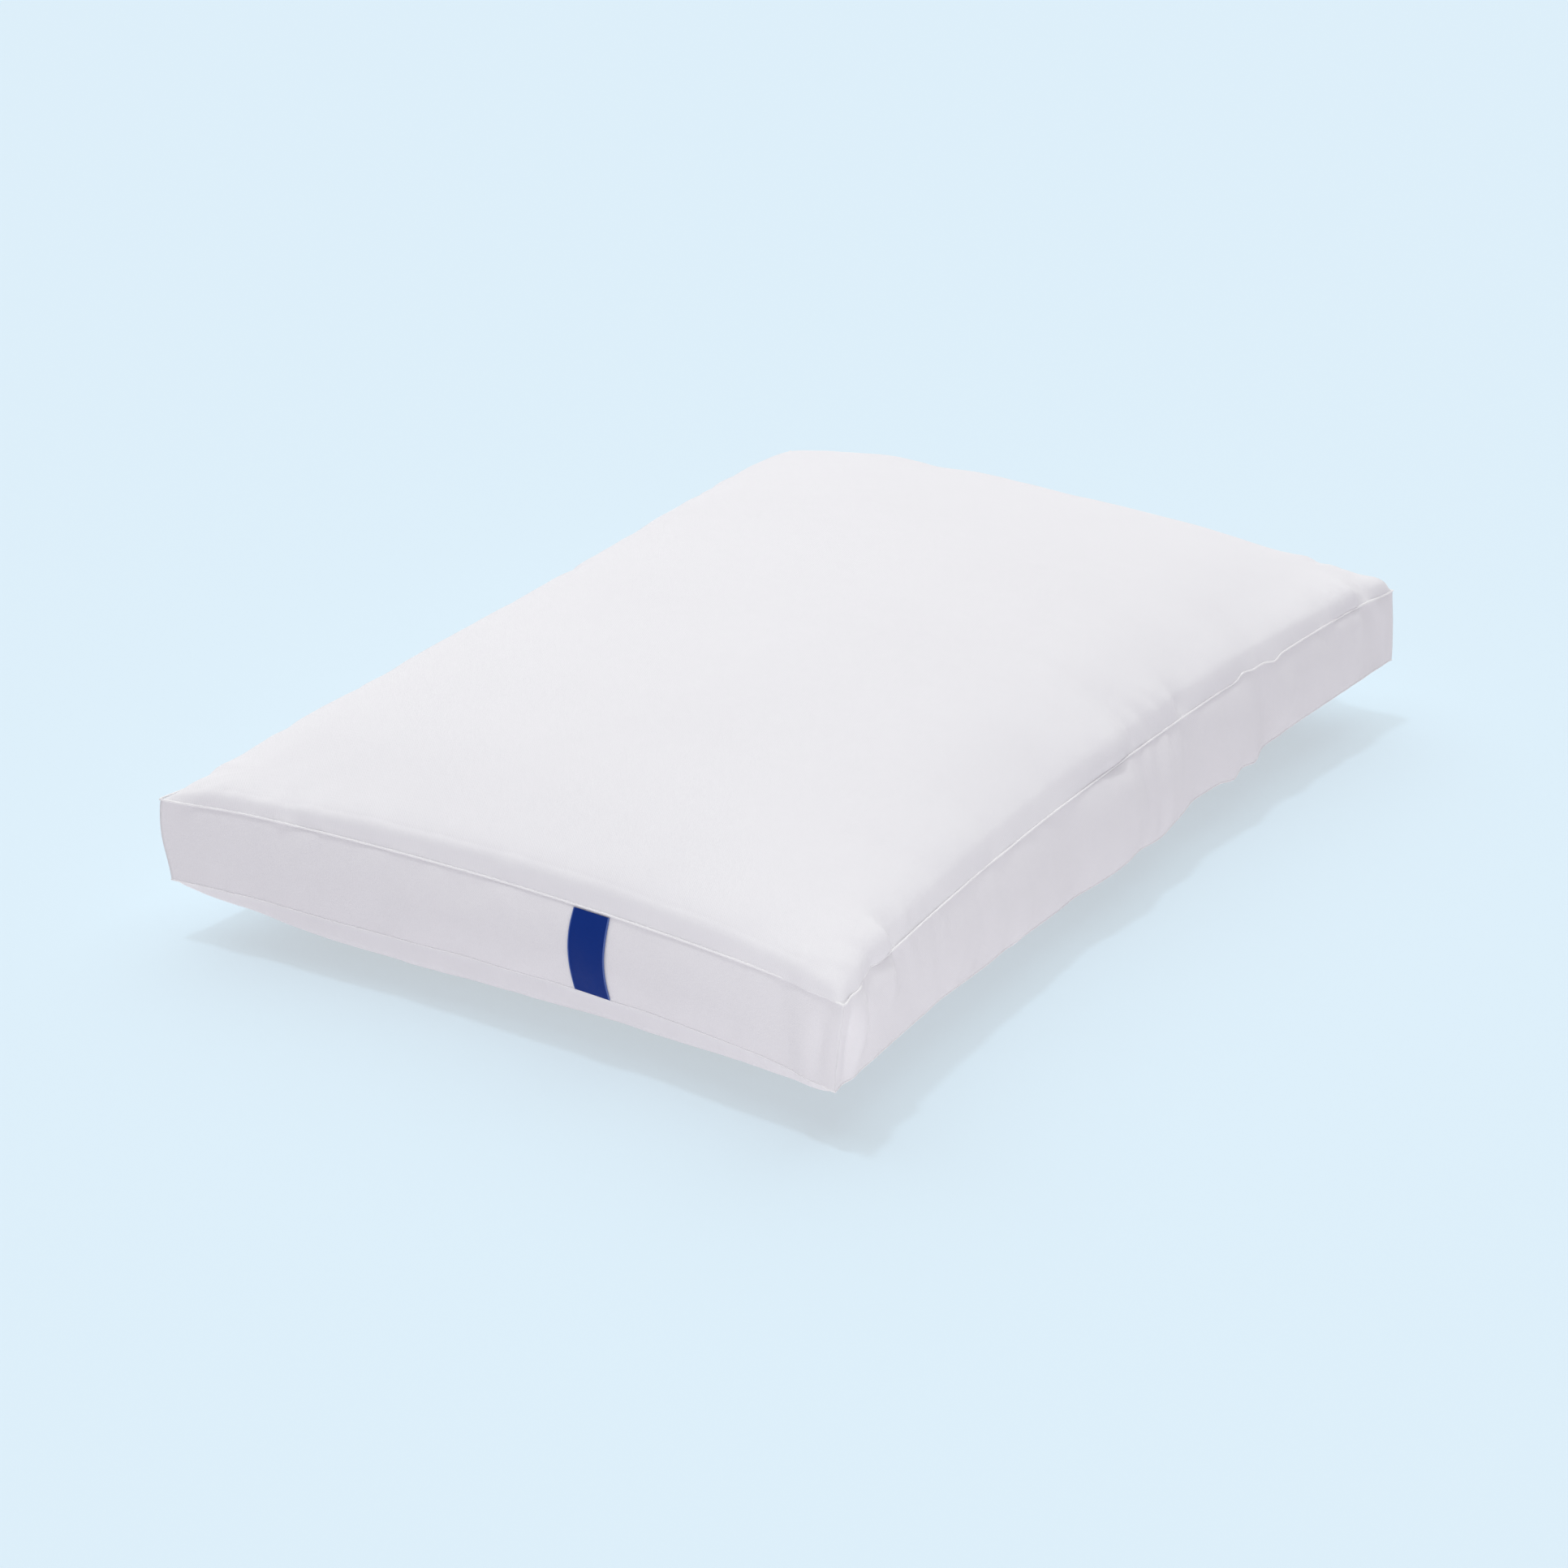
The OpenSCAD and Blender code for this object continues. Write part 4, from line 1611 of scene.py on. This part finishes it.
    def metal(self) -> list[bpy.types.Object]:
        """Builds the stops, the slider and the pull.

        Returns:
            The four metal pieces.
        """
        return [
            self.eased("zip_closed_end_stops", "zip_stops_closed_end", "pillow", self.stop_bevel),
            self.eased("zip_open_end_stop", "zip_stop_open_end", "pillow", self.stop_bevel),
            self.eased("zip_slider", "zip_runner", "zip_slider", self.runner_bevel),
            self.eased("zip_pull", "zip_pull_tab", "zip_pull", self.pull_bevel),
        ]


@dataclass
class Filling:
    """The outer filling, the linings, and the inner pillow with its own cover."""

    cloth: CoverCloth
    wardrobe: Wardrobe
    clear: float = 0.0028
    rim: float = 0.009
    lining_t: float = 0.0006
    lump: float = 0.0012
    lining_depth: float = 0.0003
    inner_cover_depth: float = 0.0013
    inner_depth: float = 0.0023
    outer_fill: float = 0.5
    inner_fill: float = 0.7

    def lumpy(self, points: Array, seed: int) -> Array:
        """Small soft lumps, always inwards, that are 0 at the rim.

        Args:
            points: The layer's face.
            seed: Number that picks the lumps.

        Returns:
            Depth of the lumps at each point.
        """
        u, v = np.meshgrid(
            np.linspace(-1, 1, points.shape[0]), np.linspace(-1, 1, points.shape[1]), indexing="ij"
        )
        rim = np.clip((1 - u**2) * (1 - v**2) * 8, 0, 1)
        lumps = wander(points[..., 0], 0.02, seed) * wander(points[..., 1], 0.023, seed + 1)
        return self.lump * rim * (lumps * 0.5 + 0.5)

    def outer(self) -> list[bpy.types.Object]:
        """Builds the two layers of outer filling, inside the pressed cover.

        Returns:
            The upper and the lower layer.
        """
        cloth, form = self.cloth, self.cloth.form
        u, v = cloth.u[::2], cloth.v[::2]
        made = []
        for name, node, grid, above, turn in (
            ("outer_filling_upper", "outer_fill_top", cloth.top, True, 1),
            ("outer_filling_lower", "outer_fill_bottom", cloth.bottom, False, -1),
        ):
            plain = grid[::2, ::2].copy()
            plain[..., 0] *= 1 - self.rim / (form.width / 2)
            room = np.where(plain[..., 1] > 0, self.rim + form.zip_room, self.rim)
            plain[..., 1] *= 1 - room / (form.length / 2)
            plain[..., 2] -= turn * (self.clear + self.lumpy(plain, 14 + 3 * turn))
            inner = form.lens(u, v, above, 0)
            upper, lower = (plain, inner) if above else (inner, plain)
            piece = self.wardrobe.fit(closed_piece(name, upper, lower), Finish.FIBRE, node)
            made.append(piece)
        return made

    def linings(self) -> list[bpy.types.Object]:
        """Builds the linings and the inner pillow's cover, four thin sheets.

        Returns:
            The sheets, from the outside in.
        """
        form = self.cloth.form
        u, v = self.cloth.u[::2], self.cloth.v[::2]
        uu, vv = np.meshgrid(u, v, indexing="ij")
        width = form.width - 2 * form.lens_inset
        length = form.length - 2 * form.lens_inset - form.zip_room
        cut = np.stack([uu * width / 2, vv * length / 2], -1)
        depths = {Finish.LINING: self.lining_depth, Finish.INNER: self.inner_cover_depth}
        made = []
        for name, node, above, finish, rests in (
            ("lining_upper", "lining_top", True, Finish.LINING, "inner_cover_upper"),
            ("lining_lower", "lining_bottom", False, Finish.LINING, "outer_filling_lower"),
            ("inner_cover_upper", "inner_cover_top", True, Finish.INNER, "inner_filling"),
            ("inner_cover_lower", "inner_cover_bottom", False, Finish.INNER, "lining_lower"),
        ):
            points = form.lens(u, v, above, depths[finish])
            order = np.s_[:] if above else np.s_[::-1]
            piece = sheet_piece(name, points[order], cut[order], self.lining_t)
            self.wardrobe.fit(piece, finish, node)
            made.append(piece)
        return made

    def inner(self) -> bpy.types.Object:
        """Builds the inner pillow's filling.

        Returns:
            The filling.
        """
        form = self.cloth.form
        u, v = self.cloth.u[::2], self.cloth.v[::2]
        upper, lower = (form.lens(u, v, above, self.inner_depth) for above in (True, False))
        upper[..., 2] -= self.lumpy(upper, 23)
        lower[..., 2] += self.lumpy(lower, 29)
        piece = closed_piece("inner_filling", upper, lower)
        self.wardrobe.fit(piece, Finish.FIBRE, "inner_fill")
        return piece


# ---------- Studio ----------


@dataclass(frozen=True)
class Sun:
    """A distant light: its strength, its width in degrees, its direction and its colour."""

    name: str
    energy: float
    width: float
    travel: Place
    colour: Colour = (1, 1, 1)

    def hang(self) -> None:
        """Adds the light to the scene."""
        data = bpy.data.lights.new(self.name, "SUN")
        data.energy = self.energy
        data.color = self.colour
        data.angle = math.radians(self.width)
        light = bpy.data.objects.new(self.name, data)
        light.rotation_mode = "QUATERNION"
        light.rotation_quaternion = Vector(self.travel).to_track_quat("-Z", "Y")
        bpy.context.scene.collection.objects.link(light)


@dataclass
class Studio:
    """Pale floor, soft light and the camera."""

    centre_z: float
    lens: float = 104.42
    sensor: float = 36.0
    sees_to: float = 200.0
    floor_half: float = 60.0
    pitch: float = 25.602
    yaw: float = 32.829
    distance: float = 2.7705
    slide_right: float = -0.01642
    slide_up: float = -0.03543
    sky: float = 0.38
    sky_colour: Colour = (0.98, 0.94, 1.06)
    suns: tuple[Sun, ...] = (
        Sun("key", 0.46, 5.0, (0.169, 0.041, -1)),
        Sun("overhead", 1.62, 90.0, (0.32, -0.36, -1), (1.015, 1.04, 0.975)),
    )
    fill: float = 2.2
    fill_place: Place = (0.95, -1.02, 0.035)
    fill_size: tuple[float, float] = (0.5, 0.05)
    seen_paint: Colour = (0.536, 0.779, 0.972)
    seen_glow: Colour = (1.034, 1.016, 0.929)
    bounce_paint: Colour = (0.92, 0.91, 0.94)
    seen_own: float = 0.39
    bounce_own: float = 0.3
    backdrop: Colour = (0.73, 0.87, 0.95)

    def camera(self) -> None:
        """Places the camera above the right-hand front corner."""
        yaw, pitch = math.radians(self.yaw), math.radians(self.pitch)
        ahead = Vector(
            (-math.sin(yaw) * math.cos(pitch), math.cos(yaw) * math.cos(pitch), -math.sin(pitch))
        )
        right = Vector((math.cos(yaw), math.sin(yaw), 0))
        up = right.cross(ahead)
        data = bpy.data.cameras.new("camera")
        data.sensor_width = self.sensor
        data.lens = self.lens
        data.clip_end = self.sees_to
        camera = bpy.data.objects.new("camera", data)
        place = right * self.slide_right + up * self.slide_up - ahead * self.distance
        place.z += self.centre_z
        turn = Matrix((right, up, -ahead)).transposed().to_4x4()
        camera.matrix_world = Matrix.Translation(place) @ turn
        bpy.context.scene.collection.objects.link(camera)
        bpy.context.scene.camera = camera

    def floor(self) -> bpy.types.Object:
        """Lays a wide pale floor that throws a neutral light back.

        Returns:
            The floor.
        """
        bm = bmesh.new()
        bmesh.ops.create_grid(bm, x_segments=4, y_segments=4, size=self.floor_half)
        floor = to_object(bm, "floor")
        material = bpy.data.materials.new("floor_paper")
        material.use_nodes = True
        nodes = Nodes(material.node_tree)
        material.node_tree.nodes.remove(material.node_tree.nodes["Principled BSDF"])
        sides = []
        for paint, shine, own in (
            (self.bounce_paint, self.bounce_paint, self.bounce_own),
            (self.seen_paint, self.seen_glow, self.seen_own),
        ):
            lit = nodes.add("ShaderNodeBsdfDiffuse")
            lit.inputs["Color"].default_value = (*paint, 1)
            glow = nodes.add("ShaderNodeEmission")
            glow.inputs["Color"].default_value = (*shine, 1)
            even = nodes.add("ShaderNodeMixShader")
            nodes.feed(even.inputs[0], own)
            nodes.feed(even.inputs[1], lit.outputs[0])
            nodes.feed(even.inputs[2], glow.outputs[0])
            sides.append(even)
        mix = nodes.add("ShaderNodeMixShader")
        nodes.feed(mix.inputs[0], nodes.add("ShaderNodeLightPath").outputs["Is Camera Ray"])
        nodes.feed(mix.inputs[1], sides[0].outputs[0])
        nodes.feed(mix.inputs[2], sides[1].outputs[0])
        nodes.feed(material.node_tree.nodes["Material Output"].inputs[0], mix.outputs[0])
        floor.data.materials.append(material)
        return floor

    def lights(self, floor: bpy.types.Object) -> None:
        """Sets an even sky, two lights from above and the low fill.

        Args:
            floor: The floor, which the fill leaves alone.
        """
        world = bpy.data.worlds.new("studio")
        bpy.context.scene.world = world
        world.use_nodes = True
        nodes = Nodes(world.node_tree)
        even = world.node_tree.nodes["Background"]
        even.inputs[0].default_value = (*self.sky_colour, 1)
        even.inputs[1].default_value = self.sky
        seen = nodes.add("ShaderNodeBackground")
        seen.inputs[0].default_value = (*self.backdrop, 1)
        mix = nodes.add("ShaderNodeMixShader")
        nodes.feed(mix.inputs[0], nodes.add("ShaderNodeLightPath").outputs["Is Camera Ray"])
        nodes.feed(mix.inputs[1], even.outputs[0])
        nodes.feed(mix.inputs[2], seen.outputs[0])
        nodes.feed(world.node_tree.nodes["World Output"].inputs[0], mix.outputs[0])
        for sun in self.suns:
            sun.hang()
        self.low_fill(floor)

    def low_fill(self, floor: bpy.types.Object) -> None:
        """Sets a small low light near the front corner.

        Args:
            floor: The floor, which this light leaves alone.
        """
        data = bpy.data.lights.new("fill", "AREA")
        data.shape = "RECTANGLE"
        data.size, data.size_y = self.fill_size
        data.energy = self.fill
        light = bpy.data.objects.new("fill", data)
        light.location = self.fill_place
        light.rotation_mode = "QUATERNION"
        aim = Vector((CAD_BOX[1].x, CAD_BOX[0].y, self.centre_z)) - Vector(self.fill_place)
        light.rotation_quaternion = aim.to_track_quat("-Z", "Y")
        light.visible_camera = False
        bpy.context.scene.collection.objects.link(light)
        spared = bpy.data.collections.new("spared_by_fill")
        spared.objects.link(floor)
        light.light_linking.receiver_collection = spared
        spared.collection_objects[0].light_linking.link_state = "EXCLUDE"

    def build(self) -> None:
        """Builds the whole studio."""
        self.camera()
        self.lights(self.floor())
        view = bpy.context.scene.view_settings
        view.view_transform = "Standard"
        view.look = "None"


def folds(form: PillowForm) -> list[Tug]:
    """Folds, nips and ears that the sewn corners and joins give the cover.

    Args:
        form: The pillow's form.

    Returns:
        The tugs, each a soft local pull.
    """
    x, y = form.width / 2, form.length / 2
    low, high, mid = form.z_low, form.z_high, form.z_mid
    return [
        # Ears of the upper corners, drawn out and down a little
        Tug((-x, -y, high), (0.035, 0.035, 0.02), (-0.0036, -0.0024, -0.0020)),
        Tug((x, -y, high), (0.030, 0.030, 0.02), (0.0036, -0.0014, -0.0016)),
        Tug((x, y, high), (0.030, 0.030, 0.02), (0.0004, 0.0004, -0.0030)),
        Tug((-x, y, high), (0.050, 0.050, 0.03), (0.0010, 0, -0.0050)),
        # Lower corners
        Tug((-x, -y, low), (0.030, 0.030, 0.02), (0.0, 0.0, -0.0015)),
        Tug((x, -y, low), (0.030, 0.030, 0.02), (-0.0023, -0.0015, -0.0027)),
        Tug((x, y, low), (0.030, 0.030, 0.02), (0.0017, 0.0011, 0.0020)),
        # The gusset stands full at the far corners and bends in a little at the near one
        Tug((-x, -y, mid), (0.014, 0.014, 0.020), (-0.0055, -0.0010, 0)),
        Tug((x, y, mid), (0.014, 0.014, 0.020), (0.0014, 0.0006, 0)),
        Tug((x, -y, mid - 0.004), (0.007, 0.007, 0.018), (-0.0010, 0.0010, 0)),
        # The lower seam of the near long side hangs lower and hides the bottom panel
        Tug((x - 0.015, -0.02, low), (0.045, 0.24, 0.030), (0.0030, 0, -0.0070)),
        # The top is a little fuller towards the zip end
        Tug((0, 0.06, high + 0.05), (0.26, 0.40, 0.06), (0, 0, 0.0042)),
        # The top slopes down more gently towards the near seams
        Tug((-0.08, -y + 0.015, high + 0.034), (0.16, 0.05, 0.020), (0, 0, -0.0065)),
        Tug((x - 0.015, 0.06, high + 0.034), (0.045, 0.27, 0.020), (0, 0, -0.0055)),
        Tug((-x + 0.05, -y + 0.02, high + 0.030), (0.07, 0.05, 0.020), (0, 0, -0.0040)),
        Tug((x - 0.025, y - 0.06, high + 0.034), (0.05, 0.07, 0.022), (0, 0, -0.0065)),
        # The bottom panel bulges lower beside the label
        Tug((-0.10, -y + 0.02, low - 0.012), (0.12, 0.05, 0.020), (0, -0.0045, -0.0025)),
        Tug((x - 0.015, 0.0, low), (0.045, 0.15, 0.030), (0.0020, 0, -0.0065)),
        # Two upright ridges beside the near corner, with a valley before them
        Tug((x - 0.012, -y, mid), (0.0045, 0.01, 0.024), (0, 0.0020, 0)),
        Tug((x - 0.024, -y, mid), (0.006, 0.01, 0.026), (0, -0.0020, 0)),
        Tug((x, -y + 0.010, mid), (0.01, 0.0045, 0.024), (-0.0026, 0, 0)),
        Tug((x, -y + 0.019, mid + 0.004), (0.01, 0.0050, 0.022), (0.0028, 0, 0)),
        Tug((x, -y + 0.029, mid + 0.008), (0.01, 0.006, 0.018), (-0.0026, 0, 0)),
        # Kink in the upper seam a little way along the long side
        Tug((x - 0.003, -y + 0.039, high), (0.008, 0.006, 0.007), (-0.0016, 0, 0.0016)),
        # Join of the two strips, and the folds that fall from it
        Tug((x - 0.014, 0.190, high), (0.008, 0.006, 0.006), (0.0014, 0, -0.0018)),
        Tug((x - 0.016, 0.157, high), (0.008, 0.007, 0.006), (-0.0014, 0, 0.0016)),
        Tug((x - 0.006, 0.176, mid + 0.004), (0.014, 0.008, 0.02), (-0.0034, 0, 0)),
        Tug((x - 0.006, 0.200, mid - 0.004), (0.014, 0.009, 0.02), (0.0026, 0, 0)),
        Tug((x - 0.006, 0.142, mid), (0.014, 0.010, 0.022), (0.0024, 0, 0)),
        Tug((x - 0.008, 0.108, mid - 0.008), (0.014, 0.012, 0.022), (-0.0020, 0, 0)),
        # Lobes that overhang the lower seam
        Tug((x - 0.012, 0.165, low), (0.016, 0.010, 0.012), (0.0030, 0, -0.0024)),
        Tug((x - 0.013, 0.138, low), (0.016, 0.009, 0.012), (0.0026, 0, -0.0020)),
        Tug((x - 0.015, 0.095, low), (0.016, 0.012, 0.012), (-0.0014, 0, 0.0012)),
        Tug((x - 0.016, 0.050, low), (0.016, 0.016, 0.012), (0.0012, 0, -0.0012)),
        Tug((x - 0.017, -0.040, low), (0.016, 0.020, 0.012), (-0.0008, 0, 0.0008)),
        # Small wrinkle in the far long side
        Tug((-x + 0.02, 0.025, high + 0.016), (0.02, 0.006, 0.02), (0.0024, 0, -0.0026)),
    ]


def main() -> None:
    """Builds the studio and the pillow, in order, and reports each piece."""
    logging.basicConfig(level=logging.INFO, format="%(name)s: %(message)s")
    form = PillowForm.from_frame()
    Studio(form.z_mid).build()
    wardrobe = Wardrobe()
    strip_low, strip_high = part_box("gusset_zip_strip_upper")
    corner_low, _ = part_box("gusset_corner_strip")
    cloth = CoverCloth(
        form,
        zip_share=(strip_high.x - strip_low.x) / form.width,
        join_share=corner_low.y / (form.length / 2),
    )
    cloth.press()
    cloth.refine()
    cloth.tug(folds(form))
    cloth.tuck()
    cloth.pucker()
    cloth.settle()
    filling = Filling(cloth, wardrobe)
    pieces = [*filling.outer(), *filling.linings(), filling.inner()]
    cover = Cover(cloth, wardrobe)
    panels, strips = cover.panels(), cover.strips()
    bpy.context.view_layer.update()
    labels = Labels(form, wardrobe)
    pieces += [*panels, *strips, *cover.piping()]
    pieces += [labels.woven(cloth.sides[Side.FRONT]), labels.care()]
    closure = Zip(form, wardrobe)
    pieces += [*closure.tapes(), *closure.coils(), *closure.metal()]
    for piece in pieces:
        LOG.info("%s: %d faces", piece.name, len(piece.data.polygons))
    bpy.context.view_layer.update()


if __name__ == "__main__":
    main()
